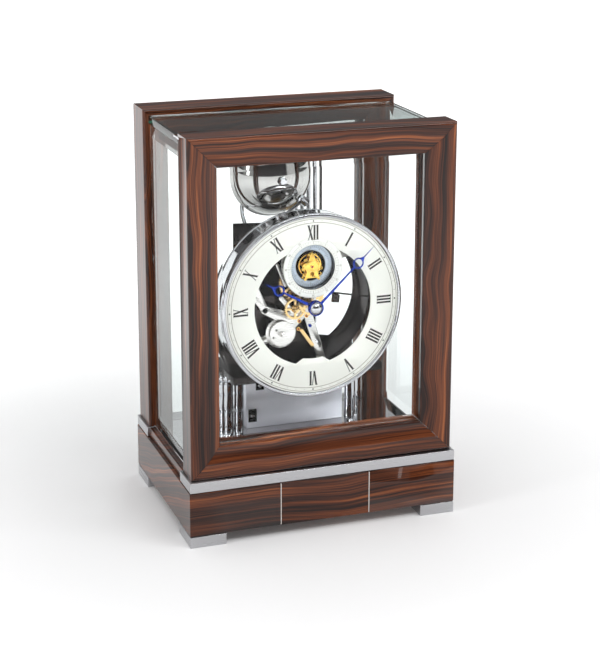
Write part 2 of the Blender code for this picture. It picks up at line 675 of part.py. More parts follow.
def make_plates(places, finish):
    barrel, third, minute = places["barrel"], places["third"], places["minute"]
    pillars = [(-0.0681, -0.0433), (0.0165, -0.0680), (0.0560, 0.0480), (-0.0442, 0.0675)]
    arms = [
        circle(0.0265, (0.0, SUB_Z), 28),
        capsule((0.0, -0.002), (0.0, SUB_Z), 0.0085),
        capsule((-0.002, -0.004), barrel, 0.0075),
        circle(0.0150, barrel, 28),
        capsule((-0.0430, -0.0045), (-0.0110, -0.0150), 0.0038),
        capsule((-0.0430, -0.0045), (-0.0530, 0.0180), 0.0036),
        capsule(barrel, pillars[0], 0.0040),
        capsule((-0.0010, -0.0080), (0.0100, -0.0440), 0.0042),
        capsule((0.0100, -0.0440), pillars[1], 0.0040),
        capsule((0.0, SUB_Z), pillars[2], 0.0040),
        capsule((0.0, SUB_Z), pillars[3], 0.0040),
    ]
    front = bars("front_plate", arms, FRONT_PLATE_Y, finish["nickel"])
    pivot = 0.0010
    post = 0.0016
    holes = [(0.0, 0.0, 0.0024), (*third, pivot), (*minute, 0.0010), (0.0, SUB_Z, 0.0030), (*barrel, 0.0030)]
    holes += [(x, z, post) for x, z in pillars]
    bore_plate(front, holes, finish["nickel"])
    outline = [(-0.0615, 0.072), (-0.0615, -0.020), (-0.0745, -0.034), (-0.0745, -0.052),
               (-0.066, -0.0737), (0.060, -0.0737), (0.060, -0.053),
               (0.020, -0.046), (0.020, 0.030), (0.062, 0.034), (0.062, 0.058), (0.054, 0.062),
               (0.020, 0.068)]
    rear = sheet("rear_plate", [outline], REAR_PLATE_Y, PLATE, finish["dark_plate"])
    posts = []
    for x, z in pillars:
        posts.append(rod("post", 0.0028, FRONT_PLATE_Y + GAP, REAR_PLATE_Y - 0.0005, finish["dark_plate"],
                         (x, DIAL_Z + z), 16))
        posts.append(rod("tenon", 0.0013, FRONT_PLATE_Y - PLATE - 0.0012, FRONT_PLATE_Y + 0.0010,
                         finish["dark_plate"], (x, DIAL_Z + z), 16))
    flange = arc(SHIELD_R + 0.0020, *SHIELD_DEG, 30) + arc(SHIELD_R - 0.0020, *SHIELD_DEG[::-1], 30)
    posts.append(sheet("flange", [flange], REAR_PLATE_Y - 0.0001, PLATE - 0.0002, finish["dark_plate"]))
    shell = arc(SHIELD_R + SHIELD_WALL, *SHIELD_DEG, 30) + arc(SHIELD_R, *SHIELD_DEG[::-1], 30)
    shell_back = REAR_PLATE_Y - 0.0003
    posts.append(sheet("shield", [shell], shell_back, shell_back - FRONT_PLATE_Y - 0.0008,
                       finish["dark_plate"]))
    combine(rear, posts, "UNION")
    bore_plate(rear, [(0.0, 0.0, pivot), (*third, pivot), (0.0, SUB_Z, pivot), (*barrel, 0.0030)],
               finish["dark_plate"])


def gear(name, teeth, module, phase, back, thickness, finish, at, windows=()):
    return sheet(name, [gear_outline(teeth, module, phase), *windows], back, thickness, finish,
                 (at[0], DIAL_Z + at[1]))


def make_train(places, finish):
    brass, steel = finish["brass"], finish["nickel"]
    barrel, third, minute, cage = (places[k] for k in ("barrel", "third", "minute", "cage"))
    hub = (0.0, 0.0)
    third_phase = mesh_phase(direction(third, hub), CENTRE_TEETH, 0.0, LEAF)
    cage_phase = mesh_phase(direction(cage, third), THIRD_TEETH, 0.0, LEAF)
    barrel_phase = mesh_phase(direction(barrel, hub), LEAF, 0.0, BARREL_TEETH)
    minute_phase = mesh_phase(direction(minute, hub), CANNON_TEETH, 0.0, MINUTE_TEETH)
    hour_phase = mesh_phase(direction(hub, minute), HOUR_PINION_TEETH, 0.0, HOUR_TEETH)

    wheel = gear("centre_wheel", CENTRE_TEETH, MODULE, 0.0, -0.0372, 0.0014, brass, hub,
                 spoke_windows(5, 0.0050, 0.0155, 0.0026))
    combine(wheel, [
        gear("pinion", LEAF, BARREL_MODULE, 0.0, -0.0294, 0.0052, brass, hub),
        rod("arbor", 0.0013, -0.0475, -0.0086, brass),
        rod("pivot", 0.0008, -0.0100, -0.0062, brass),
        gear("cannon", CANNON_TEETH, MINUTE_MODULE, 0.0, -0.0474, 0.0030, brass, hub),
        rod("pipe", 0.0016, -0.0704, -0.0440, brass),
    ], "UNION")
    wheel = gear("third_wheel", THIRD_TEETH, MODULE, 0.0, -0.0410, 0.0012, brass, third,
                 spoke_windows(5, 0.0045, 0.0145, 0.0024))
    spot = (third[0], DIAL_Z + third[1])
    combine(wheel, [
        gear("pinion", LEAF, MODULE, third_phase, -0.0360, 0.0044, brass, third),
        rod("arbor", 0.0012, -0.0430, -0.0090, brass, spot),
        rod("pivot", 0.0008, -0.0457, -0.0062, brass, spot),
    ], "UNION")
    body = gear("going_barrel", BARREL_TEETH, BARREL_MODULE, barrel_phase, -0.0306, 0.0034, brass, barrel)
    spot = (barrel[0], DIAL_Z + barrel[1])
    combine(body, [rod("drum", 0.0325, -0.0336, -0.0120, brass, spot, 36)], "UNION")
    combine(body, [rod("bore", 0.0031, -0.06, 0.0, brass, spot, 16)], "DIFFERENCE")
    arbor = rod("winding_arbor", 0.0027, -0.0500, -0.0062, steel, spot, 16)
    square = box("square", (spot[0] - 0.0016, -0.0560, spot[1] - 0.0016),
                 (spot[0] + 0.0016, -0.0490, spot[1] + 0.0016), steel)
    collar = rod("collar", 0.0050, -0.0492, -0.0464, steel, spot, 18)
    combine(arbor, [square, collar], "UNION")

    wheel = gear("minute_wheel", MINUTE_TEETH, MINUTE_MODULE, minute_phase, -0.0484, 0.0010, brass, minute,
                 spoke_windows(4, 0.0040, 0.0085, 0.0020))
    spot = (minute[0], DIAL_Z + minute[1])
    combine(wheel, [
        gear("pinion", HOUR_PINION_TEETH, HOUR_MODULE, 0.0, -0.0492, 0.0054, brass, minute),
        rod("stud", 0.0008, -0.0548, -0.0445, brass, spot),
    ], "UNION")
    pipe_in, pipe_out = 0.0020, 0.0032
    wheel = gear("hour_wheel", HOUR_TEETH, HOUR_MODULE, hour_phase, -0.0520, 0.0010, brass, hub,
                 spoke_windows(4, 0.0048, 0.0090, 0.0020))
    combine(wheel, [rod("pipe", pipe_out, -0.0671, -0.0514, brass, steps=16)], "UNION")
    combine(wheel, [rod("bore", pipe_in, -0.08, -0.04, brass, steps=16)], "DIFFERENCE")
    make_tourbillon(cage_phase, finish)


def lyre(top):
    """Outline of a cage bridge: a point above, shoulders, a waist and two feet."""
    half = [(0.0017, 0.0114), (0.0028, 0.0086), (0.0035, 0.0060), (0.0052, 0.0044), (0.0084, 0.0034),
            (0.0093, 0.0012), (0.0072, -0.0014), (0.0052, -0.0044), (0.0058, -0.0082), (0.0080, -0.0115),
            (0.0079, -0.0128), (0.0060, -0.0133), (0.0045, -0.0109)]
    return [(0.0, top)] + half + [(-x, y) for x, y in reversed(half)]


def make_tourbillon(cage_phase, finish):
    """A turning carriage with its pinion behind it, and the balance that swings inside it."""
    gold = finish["gold"]
    axis = (0.0, DIAL_Z + SUB_Z)
    window = circle(0.0021, (0.0, -0.0072))
    cage = sheet("tourbillon_cage", [lyre(0.0150), window], -0.0574, 0.0009, gold, axis)
    made = []
    for x, z in ((0.0, 0.0102), (0.0063, -0.0110), (-0.0063, -0.0110)):
        made.append(rod("pillar", 0.0008, -0.0580, -0.0509, gold, (axis[0] + x, axis[1] + z)))
    made.append(sheet("back_bridge", [lyre(0.0122)], -0.0506, 0.0009, gold, axis))
    made.append(rod("arbor", 0.0020, -0.0511, -0.0420, gold, axis))
    made.append(gear("pinion", LEAF, MODULE, cage_phase, -0.0398, 0.0036, gold, (0.0, SUB_Z)))
    made.append(rod("pivot", 0.0008, -0.0405, -0.0062, gold, axis))
    combine(cage, made, "UNION")
    combine(cage, [rod("bore", 0.0007, -0.07, -0.0508, gold, axis)], "DIFFERENCE")
    balance = sheet("balance_wheel", [circle(0.0086, steps=28), *spoke_windows(2, 0.0018, 0.0075, 0.0012)],
                    -0.0536, 0.0012, finish["chrome"], axis)
    combine(balance, [rod("staff", 0.0005, -0.0580, -0.0511, finish["chrome"], axis, 12)], "UNION")


# ---------------------------------------------------------------- bell, rods and hammers
def dome(radius, depth, drop):
    """Half section of the bell's outer face, from its crown to its rim."""
    points = []
    for i in range(8):
        share = i / 7
        r = radius * math.sin(share * math.pi / 2)
        points.append((r, -depth * (1 - math.cos(share * math.pi / 2)) - drop))
    return points


def make_bell(finish):
    wall = 0.0012
    depth = 0.0300
    bore = 0.0024
    outer = [(max(r, bore), h) for r, h in dome(BELL_R - 0.0030, depth, 0.0)]
    inner = [(max(r, bore), h) for r, h in dome(BELL_R - 0.0030 - wall, depth - wall, wall)]
    rim = [(BELL_R, -depth - 0.0040), (BELL_R - wall, -depth - 0.0046)]
    profile = outer + rim + inner[::-1] + [outer[0]]
    crown = (BELL[0], BELL_APEX_Y, BELL[1])
    turned("bell", profile, finish["chrome"], crown, steps=30)
    shank_y = BELL_APEX_Y - 0.0030
    stand = wire("bell_stand", [
        (-0.0420, -0.0030, DIAL_Z + 0.0560), (-0.0420, 0.0100, DIAL_Z + 0.0600),
        (-0.0400, 0.0330, DIAL_Z + 0.0780), (-0.0280, 0.0380, BELL[1] - 0.0080),
        (-0.0170, 0.0340, BELL[1]), (BELL[0], 0.0200, BELL[1]),
        (BELL[0], 0.0, BELL[1]), (BELL[0], shank_y, BELL[1]),
    ], 0.0019, finish["chrome"])
    nut = turned("nut", [(0.0, 0.0040), (0.0030, 0.0040), (0.0044, 0.0028), (0.0048, 0.0), (0.0, 0.0)],
                 finish["chrome"], (BELL[0], BELL_APEX_Y - GAP, BELL[1]), steps=6)
    washer = rod("washer", 0.0050, BELL_APEX_Y + wall + 3 * GAP, BELL_APEX_Y + wall + 0.0024,
                 finish["chrome"], (BELL[0], BELL[1]), 20)
    foot = rod("foot", 0.0045, REAR_PLATE_Y + GAP, REAR_PLATE_Y + 0.0030, finish["chrome"],
               (-0.0420, DIAL_Z + 0.0560), 20)
    combine(stand, [nut, washer, foot], "UNION")
    make_bell_hammer(finish)


def make_bell_hammer(finish):
    pivot = Vector((-0.0250, 0.2790))
    head = Vector((0.0078, 0.3023))
    to_bell = (Vector(BELL) - head).normalized()
    y = -0.0100
    arm = sheet("bell_hammer", [capsule(pivot, head, 0.0013)], y + 0.0010, 0.0020, finish["brass"],
                (0.0, 0.0))
    face, tail = head + to_bell * 0.0050, head - to_bell * 0.0050
    length = (face - tail).length
    cylinder = turned("head", [(0.0, length), (0.0030, length), (0.0042, length - 0.0014), (0.0042, 0.0),
                               (0.0, 0.0)], finish["chrome"], (0.0, 0.0, 0.0), upright=True, steps=24)
    aim = Vector((to_bell.x, 0.0, to_bell.y))
    cylinder.matrix_world = (Matrix.Translation((tail.x, y, tail.y))
                             @ Vector((0.0, 0.0, 1.0)).rotation_difference(aim).to_matrix().to_4x4())
    boss = rod("boss", 0.0034, y - 0.0025, REAR_PLATE_Y - PLATE - GAP, finish["brass"], pivot, 20)
    collar_at = pivot.lerp(head, 0.45)
    collar = rod("collar", 0.0026, y - 0.0022, y + 0.0022, finish["brass"], collar_at, 16)
    combine(arm, [boss, collar, cylinder], "UNION")
    move_origin(arm, (pivot.x, y, pivot.y))


def move_origin(obj, place):
    """Put an object's origin on its joint's axis and leave its shape where it is."""
    world = obj.matrix_world.copy()
    target = Matrix.Translation(place)
    obj.data.transform(target.inverted() @ world)
    obj.matrix_world = target


def make_gongs(finish):
    xs = [GONG_X + (i - 1.5) * GONG_PITCH for i in range(4)]
    top = GONG_TOP
    block = box("gong_block", (xs[0] - 0.008, GONG_Y - 0.0075, top + GAP),
                (xs[-1] + 0.008, GONG_Y + 0.0075, top + 0.0120), finish["dark_plate"], 0.0010)
    apply_after_update(block)
    foot_y = REAR_PLATE_Y + GAP
    low, wide = DIAL_Z + 0.0480, 0.0025
    left = GONG_X + 0.0150
    foot = box("foot", (left, foot_y, low), (left + wide, foot_y + wide, low + 0.0115),
               finish["dark_plate"])
    arm = box("arm", (left + 0.0001, foot_y + 0.0005, low + 0.0002),
              (left + wide - 0.0001, GONG_Y + 0.0015, low + 0.0040), finish["dark_plate"])
    post = box("post", (left + 0.0002, GONG_Y - 0.0012, low + 0.0004),
               (left + wide - 0.0002, GONG_Y + 0.0012, top + 0.0010), finish["dark_plate"])
    combine(block, [post, arm, foot], "UNION")
    for i, x in enumerate(xs):
        length = 0.1500 + 0.0110 * i
        profile = [(0.0, length), (GONG_R * 1.2, length), (GONG_R * 1.2, length - 0.0060),
                   (GONG_R * 0.6, length - 0.0090), (GONG_R, length - 0.0140), (GONG_R, 0.0005),
                   (GONG_R - 0.0005, 0.0), (0.0, 0.0)]
        turned(f"gong_rod_{i + 1}", profile, finish["chrome"], (x, GONG_Y, top - length), upright=True,
               steps=12)
        make_chime_hammer(i + 1, x, finish)
    make_hammer_frame(xs, finish)


def make_chime_hammer(number, x, finish):
    y, z = HAMMER_AXIS
    head_z = z + 0.0340
    face_y = GONG_Y - GONG_R - 0.0007
    arm = box(f"chime_hammer_{number}", (x - 0.0008, y - 0.0010, z), (x + 0.0008, y + 0.0010, head_z),
              finish["brass"])
    boss = box("boss", (x - 0.0024, y - 0.0030, z - 0.0030), (x + 0.0024, y + 0.0030, z + 0.0030),
               finish["brass"])
    head = rod("head", 0.0031, y - 0.0030, face_y, finish["brass"], (x, head_z))
    combine(arm, [boss, head], "UNION")
    bore = turned("bore", [(0.0, 0.01), (0.0014, 0.01), (0.0014, -0.01), (0.0, -0.01)], finish["brass"],
                  (0.0, 0.0, 0.0), upright=True, steps=12)
    bore.matrix_world = Matrix.Translation((x, y, z)) @ Matrix.Rotation(math.radians(90), 4, "Y")
    combine(arm, [bore], "DIFFERENCE")
    move_origin(arm, (x, y, z))


def make_hammer_frame(xs, finish):
    """Two cheeks on a foot, screwed to the rear plate, with the hammers' arbor between them."""
    y, z = HAMMER_AXIS
    low_x, high_x = xs[0] - 0.0065, xs[-1] + 0.0065
    back = REAR_PLATE_Y + GAP
    frame = box("hammer_frame", (low_x, back, z - 0.0080), (high_x, back + 0.0020, z + 0.0050),
                finish["nickel"])
    parts = []
    for x in (low_x, high_x - 0.0020):
        parts.append(box("cheek", (x + 0.0001, back + 0.0003, z - 0.0078),
                         (x + 0.0019, y + 0.0040, z + 0.0048), finish["nickel"]))
    arbor = turned("arbor", [(0.0, high_x - low_x + 0.0020), (0.0012, high_x - low_x + 0.0020),
                             (0.0012, 0.0), (0.0, 0.0)], finish["nickel"], (0.0, 0.0, 0.0),
                   upright=True, steps=20)
    arbor.matrix_world = (Matrix.Translation((low_x - 0.0010, y, z))
                          @ Matrix.Rotation(math.radians(90), 4, "Y"))
    combine(frame, parts + [arbor], "UNION")


def shade():
    """Round faces smooth and corners sharp."""
    for obj in CLOCK.objects:
        obj.data.shade_smooth()
        obj.data.set_sharp_from_angle(angle=math.radians(30))


for old in list(bpy.data.objects):
    bpy.data.objects.remove(old)
CLOCK = bpy.data.collections.new("mantel_clock")
bpy.context.scene.collection.children.link(CLOCK)
FINISH = make_materials()
make_base(FINISH)
make_door(FINISH)
make_hinges(FINISH)
make_glazed_case(FINISH)
make_stand(FINISH)
make_dial(FINISH)
make_hands(FINISH)
PLACES = train_places()
make_plates(PLACES, FINISH)
make_train(PLACES, FINISH)
make_bell(FINISH)
make_gongs(FINISH)
shade()
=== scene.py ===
"""The looks of the mantel clock: materials, smooth shapes, dial printing, screws, jewels and the studio.

Metres, +Z up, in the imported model's own frame.  -Y faces the reader.  Shapes of the movement are drawn
in the dial's plane: x to the right, y up from the hands' axis, in millimetres.
"""
import json
import math

import bmesh
import bpy
from mathutils import Matrix, Vector

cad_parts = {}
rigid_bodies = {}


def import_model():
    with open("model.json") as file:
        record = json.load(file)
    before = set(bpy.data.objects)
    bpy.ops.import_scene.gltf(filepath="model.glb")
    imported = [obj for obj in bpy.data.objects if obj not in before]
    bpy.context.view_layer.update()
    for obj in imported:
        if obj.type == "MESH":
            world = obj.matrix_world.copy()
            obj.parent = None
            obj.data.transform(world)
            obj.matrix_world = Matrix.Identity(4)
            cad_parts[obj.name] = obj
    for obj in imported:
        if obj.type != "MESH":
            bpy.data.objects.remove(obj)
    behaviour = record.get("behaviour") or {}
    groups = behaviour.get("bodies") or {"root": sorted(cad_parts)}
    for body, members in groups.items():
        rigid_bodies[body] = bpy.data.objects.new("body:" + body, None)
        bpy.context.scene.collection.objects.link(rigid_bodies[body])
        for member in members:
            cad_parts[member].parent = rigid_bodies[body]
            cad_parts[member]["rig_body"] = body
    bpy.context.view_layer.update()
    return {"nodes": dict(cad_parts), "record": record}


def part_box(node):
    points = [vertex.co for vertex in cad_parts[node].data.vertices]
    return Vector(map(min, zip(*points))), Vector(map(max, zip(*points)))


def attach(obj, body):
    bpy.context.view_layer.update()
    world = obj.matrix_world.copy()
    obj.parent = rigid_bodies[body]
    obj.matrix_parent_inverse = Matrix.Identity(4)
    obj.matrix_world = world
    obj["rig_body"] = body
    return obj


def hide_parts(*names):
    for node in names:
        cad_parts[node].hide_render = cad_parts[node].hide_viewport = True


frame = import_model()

NODES = frame["nodes"]
BODY_OF = {node: obj["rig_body"] for node, obj in NODES.items()}
SLOT_OF = {part["node"]: part["material_slot"] for part in frame["record"]["subparts"]}

MM = 0.001
AXIS = Vector((0.0, 0.0, (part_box("dial")[0].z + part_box("dial")[1].z) / 2))   # of the hands
DIAL_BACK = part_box("dial")[1].y
DIAL_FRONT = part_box("dial")[0].y
DIAL_R = (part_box("dial")[1].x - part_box("dial")[0].x) / 2 / MM
SUB_Y = 37.5              # tourbillon axis above the hands' axis
PLATE_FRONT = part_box("front_plate")[0].y
SEEN = []                 # CAD nodes that a finer piece stands for


# ---------------------------------------------------------------- materials
def shader(name, **values):
    """A material with a Principled shader; values are its sockets, with _ for a space."""
    made = bpy.data.materials.new(name)
    made.use_nodes = True
    nodes = made.node_tree.nodes
    main = nodes["Principled BSDF"]
    for key, value in values.items():
        socket = main.inputs[key.replace("_", " ")]
        socket.default_value = (*value, 1.0) if isinstance(value, tuple) and len(value) == 3 else value
    return made, made.node_tree, main


def node(tree, kind, **values):
    made = tree.nodes.new(kind)
    for key, value in values.items():
        setattr(made, key, value)
    return made


def noise(tree, vector, scale, detail=2.0, roughness=0.5):
    made = node(tree, "ShaderNodeTexNoise")
    made.inputs["Scale"].default_value = scale
    made.inputs["Detail"].default_value = detail
    made.inputs["Roughness"].default_value = roughness
    tree.links.new(vector, made.inputs["Vector"])
    return made.outputs["Fac"]


def ramp(tree, factor, stops):
    made = node(tree, "ShaderNodeValToRGB")
    while len(made.color_ramp.elements) < len(stops):
        made.color_ramp.elements.new(0.5)
    for element, (place, colour) in zip(made.color_ramp.elements, stops):
        element.position = place
        element.color = (*colour, 1.0)
    tree.links.new(factor, made.inputs["Fac"])
    return made.outputs["Color"]


def math_node(tree, operation, first, second):
    made = node(tree, "ShaderNodeMath", operation=operation)
    for socket, value in zip(made.inputs, (first, second)):
        if isinstance(value, (int, float)):
            socket.default_value = value
        else:
            tree.links.new(value, socket)
    return made.outputs[0]


def bump(tree, main, height, strength, distance):
    made = node(tree, "ShaderNodeBump")
    made.inputs["Strength"].default_value = strength
    made.inputs["Distance"].default_value = distance
    tree.links.new(height, made.inputs["Height"])
    tree.links.new(made.outputs["Normal"], main.inputs["Normal"])


def stretched(tree, scale, place=(0.0, 0.0, 0.0)):
    """Object coordinates, stretched."""
    coordinates = node(tree, "ShaderNodeTexCoord")
    mapping = node(tree, "ShaderNodeMapping")
    mapping.inputs["Scale"].default_value = scale
    mapping.inputs["Location"].default_value = place
    tree.links.new(coordinates.outputs["Object"], mapping.inputs["Vector"])
    return mapping.outputs["Vector"]


GRAIN = [                 # the veneer's colours, from its darkest stripe to its palest
    (0.32, (0.006, 0.0022, 0.0016)), (0.42, (0.022, 0.0060, 0.0030)), (0.48, (0.052, 0.0135, 0.0055)),
    (0.54, (0.098, 0.0250, 0.0085)), (0.61, (0.170, 0.0440, 0.0130)), (0.70, (0.36, 0.110, 0.032)),
]


def macassar(name, along, seed):
    """Glossy striped veneer whose stripes run along an axis of the clock, 0 for X and 2 for Z."""
    made, tree, main = shader(name, Roughness=0.36, Coat_Weight=0.75, Coat_Roughness=0.04, Coat_IOR=1.38,
                              Specular_IOR_Level=0.12)
    coordinates = node(tree, "ShaderNodeTexCoord")
    split = node(tree, "ShaderNodeSeparateXYZ")
    tree.links.new(coordinates.outputs["Object"], split.inputs["Vector"])
    x, y, z = split.outputs
    if along == 2:
        across, length = math_node(tree, "ADD", x, math_node(tree, "MULTIPLY", y, 0.8)), z
    else:
        across, length = math_node(tree, "ADD", z, math_node(tree, "MULTIPLY", y, 0.35)), x
        length = math_node(tree, "ADD", length, y)

    def field(across_scale, along_scale, offset, detail=2.0, shift=None):
        joined = node(tree, "ShaderNodeCombineXYZ")
        place = across if shift is None else math_node(tree, "ADD", across, shift)
        tree.links.new(math_node(tree, "MULTIPLY", place, across_scale), joined.inputs[0])
        tree.links.new(math_node(tree, "MULTIPLY", length, along_scale), joined.inputs[1])
        joined.inputs[2].default_value = seed + offset
        return noise(tree, joined.outputs[0], 1.0, detail)

    wander = field(13.0, 8.0, 0.0)
    shift = math_node(tree, "MULTIPLY", math_node(tree, "SUBTRACT", wander, 0.5), 0.020)
    broad = field(110.0, 2.5, 3.1, 1.0, shift)
    stripes = field(430.0, 4.5, 5.7, 2.5, shift)
    fine = field(1500.0, 14.0, 9.2, 2.0, shift)
    total = math_node(tree, "ADD", math_node(tree, "MULTIPLY", broad, 0.34),
                      math_node(tree, "MULTIPLY", stripes, 0.42))
    total = math_node(tree, "ADD", total, math_node(tree, "MULTIPLY", fine, 0.24))
    spread = math_node(tree, "MULTIPLY", math_node(tree, "SUBTRACT", total, 0.5), 1.25)
    total = math_node(tree, "ADD", spread, 0.5)
    tree.links.new(ramp(tree, total, GRAIN), main.inputs["Base Color"])
    bump(tree, main, fine, 0.04, 0.00002)
    return made


def metal(name, colour, roughness, streak=(40.0, 900.0, 900.0), spread=0.10, relief=0.0):
    """Metal with fine streaks in its roughness; streak scales are small along the brushing."""
    made, tree, main = shader(name, Base_Color=colour, Metallic=1.0)
    grain = noise(tree, stretched(tree, streak), 1.0, 3.0)
    low, high = max(roughness - spread / 2, 0.015), roughness + spread / 2
    span = node(tree, "ShaderNodeMapRange")
    span.inputs["From Min"].default_value = 0.3
    span.inputs["From Max"].default_value = 0.7
    span.inputs["To Min"].default_value = low
    span.inputs["To Max"].default_value = high
    tree.links.new(grain, span.inputs["Value"])
    tree.links.new(span.outputs["Result"], main.inputs["Roughness"])
    if relief:
        bump(tree, main, grain, relief, 0.00003)
    return made


def glass(name, ior, density):
    """Clear float glass that darkens to green with depth and lets the lamps through."""
    made, tree, main = shader(name, Base_Color=(1.0, 1.0, 1.0), Roughness=0.0, IOR=ior,
                              Transmission_Weight=1.0)
    output = tree.nodes["Material Output"]
    light_path = node(tree, "ShaderNodeLightPath")
    through = node(tree, "ShaderNodeBsdfTransparent")
    through.inputs["Color"].default_value = (0.98, 0.985, 0.98, 1.0)
    mixed = node(tree, "ShaderNodeMixShader")
    tree.links.new(light_path.outputs["Is Shadow Ray"], mixed.inputs["Fac"])
    tree.links.new(main.outputs["BSDF"], mixed.inputs[1])
    tree.links.new(through.outputs["BSDF"], mixed.inputs[2])
    tree.links.new(mixed.outputs["Shader"], output.inputs["Surface"])
    depth = node(tree, "ShaderNodeVolumeAbsorption")
    depth.inputs["Color"].default_value = (0.25, 0.88, 0.78, 1.0)
    depth.inputs["Density"].default_value = density
    tree.links.new(depth.outputs["Volume"], output.inputs["Volume"])
    return made


def silvered(name, colour):
    """The dial's silvering, finely turned about the hands' axis."""
    made, tree, main = shader(name, Base_Color=colour, Roughness=0.42, Metallic=0.0, Specular_IOR_Level=0.5)
    coordinates = node(tree, "ShaderNodeTexCoord")
    away = node(tree, "ShaderNodeVectorMath", operation="SUBTRACT")
    tree.links.new(coordinates.outputs["Object"], away.inputs[0])
    away.inputs[1].default_value = (0.0, DIAL_FRONT, AXIS.z)
    length = node(tree, "ShaderNodeVectorMath", operation="LENGTH")
    tree.links.new(away.outputs[0], length.inputs[0])
    joined = node(tree, "ShaderNodeCombineXYZ")
    tree.links.new(length.outputs["Value"], joined.inputs[0])
    rings = noise(tree, joined.outputs[0], 2600.0, 2.0)
    cloud = noise(tree, coordinates.outputs["Object"], 30.0, 2.0)
    tone = math_node(tree, "ADD", math_node(tree, "MULTIPLY", rings, 0.5),
                     math_node(tree, "MULTIPLY", cloud, 0.5))
    dark = tuple(c * 0.95 for c in colour)
    tree.links.new(ramp(tree, tone, [(0.35, dark), (0.65, colour)]), main.inputs["Base Color"])
    bump(tree, main, rings, 0.10, 0.00002)
    return made


def mottled(name, colour, roughness, metallic, spread=0.12, scale=180.0):
    """Paint, blueing or dark plating: a colour that drifts a little."""
    made, tree, main = shader(name, Roughness=roughness, Metallic=metallic)
    drift = noise(tree, stretched(tree, (1.0, 1.0, 1.0)), scale, 3.0)
    low = tuple(c * (1 - spread) for c in colour)
    high = tuple(min(c * (1 + spread), 1.0) for c in colour)
    tree.links.new(ramp(tree, drift, [(0.35, low), (0.65, high)]), main.inputs["Base Color"])
    return made


def make_materials():
    return {
        "satin_steel": metal("satin_steel_brushed", (0.50, 0.50, 0.515), 0.30, (14.0, 14.0, 1400.0), 0.10,
                             0.15),
        "inlay": metal("inlay_line", (0.80, 0.74, 0.70), 0.30),
        "mirror": metal("polished_floor", (0.84, 0.84, 0.86), 0.05, (60.0, 60.0, 60.0), 0.03),
        "pedestal": metal("pedestal_sheet", (0.93, 0.93, 1.0), 0.46, (20.0, 20.0, 700.0), 0.08),
        "door_glass": glass("bevelled_glass", 1.20, 5.0),
        "clear_glass": glass("float_glass", 1.28, 9.0),
        "roof_glass": glass("thick_float_glass", 1.45, 13.0),
        "chrome": metal("polished_chrome", (0.62, 0.62, 0.65), 0.05, (120.0, 120.0, 120.0), 0.03),
        "bell": metal("polished_bell", (0.50, 0.49, 0.48), 0.06, (90.0, 90.0, 90.0), 0.03),
        "nickel": metal("fine_nickel", (0.82, 0.80, 0.78), 0.26, (20.0, 20.0, 1500.0), 0.10, 0.08),
        "dark_plate": mottled("dark_plating", (0.035, 0.029, 0.028), 0.16, 0.85),
        "dial": silvered("silvered_dial", (0.90, 0.89, 0.84)),
        "sub_dial": silvered("sub_dial_white", (0.93, 0.925, 0.89)),
        "blued_steel": mottled("blued_steel_polish", (0.006, 0.035, 0.34), 0.18, 0.85, 0.30),
        "brass": metal("polished_brass", (0.80, 0.56, 0.26), 0.20, (200.0, 900.0, 200.0), 0.10),
        "gold": metal("gilt", (1.0, 0.64, 0.14), 0.20, (300.0, 300.0, 300.0), 0.06),
        "ink": mottled("dial_ink", (0.012, 0.006, 0.006), 0.45, 0.0, 0.2),
        "tan": mottled("dial_tan", (0.17, 0.12, 0.08), 0.5, 0.0, 0.1),
        "steel_ring": metal("ring_steel", (0.50, 0.57, 0.66), 0.34, (300.0, 300.0, 300.0), 0.10),
        "ruby": mottled("jewel", (0.35, 0.012, 0.05), 0.08, 0.0, 0.2),
        "rhodium": metal("rhodium", (0.88, 0.88, 0.90), 0.12, (300.0, 300.0, 300.0), 0.06),
    }


# ---------------------------------------------------------------- shapes
def link(name, mesh, finish, sharp=30.0):
    obj = bpy.data.objects.new(name, mesh)
    bpy.context.scene.collection.objects.link(obj)
    mesh.materials.clear()
    mesh.materials.append(finish)
    mesh.shade_smooth()
    mesh.set_sharp_from_angle(angle=math.radians(sharp))
    return obj


def from_bmesh(name, shape, finish, sharp=30.0):
    bmesh.ops.recalc_face_normals(shape, faces=shape.faces)
    mesh = bpy.data.meshes.new(name)
    shape.to_mesh(mesh)
    shape.free()
    return link(name, mesh, finish, sharp)


def applied(obj, finish, sharp=30.0):
    """The same object with its modifiers made part of its mesh."""
    bpy.context.view_layer.update()
    graph = bpy.context.evaluated_depsgraph_get()
    mesh = bpy.data.meshes.new_from_object(obj.evaluated_get(graph))
    obj.modifiers.clear()
    obj.data = mesh
    mesh.materials.clear()
    mesh.materials.append(finish)
    mesh.shade_smooth()
    mesh.set_sharp_from_angle(angle=math.radians(sharp))
    return obj


def show(obj, body, slot, *nodes):
    """Ride on a body and stand for CAD nodes; slot is not used."""
    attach(obj, body)
    if nodes:
        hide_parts(*nodes)
        SEEN.extend(nodes)
    return obj


def stand_in(obj, name):
    """obj is the finer piece for the CAD node of that name."""
    return show(obj, BODY_OF[name], SLOT_OF[name], name)


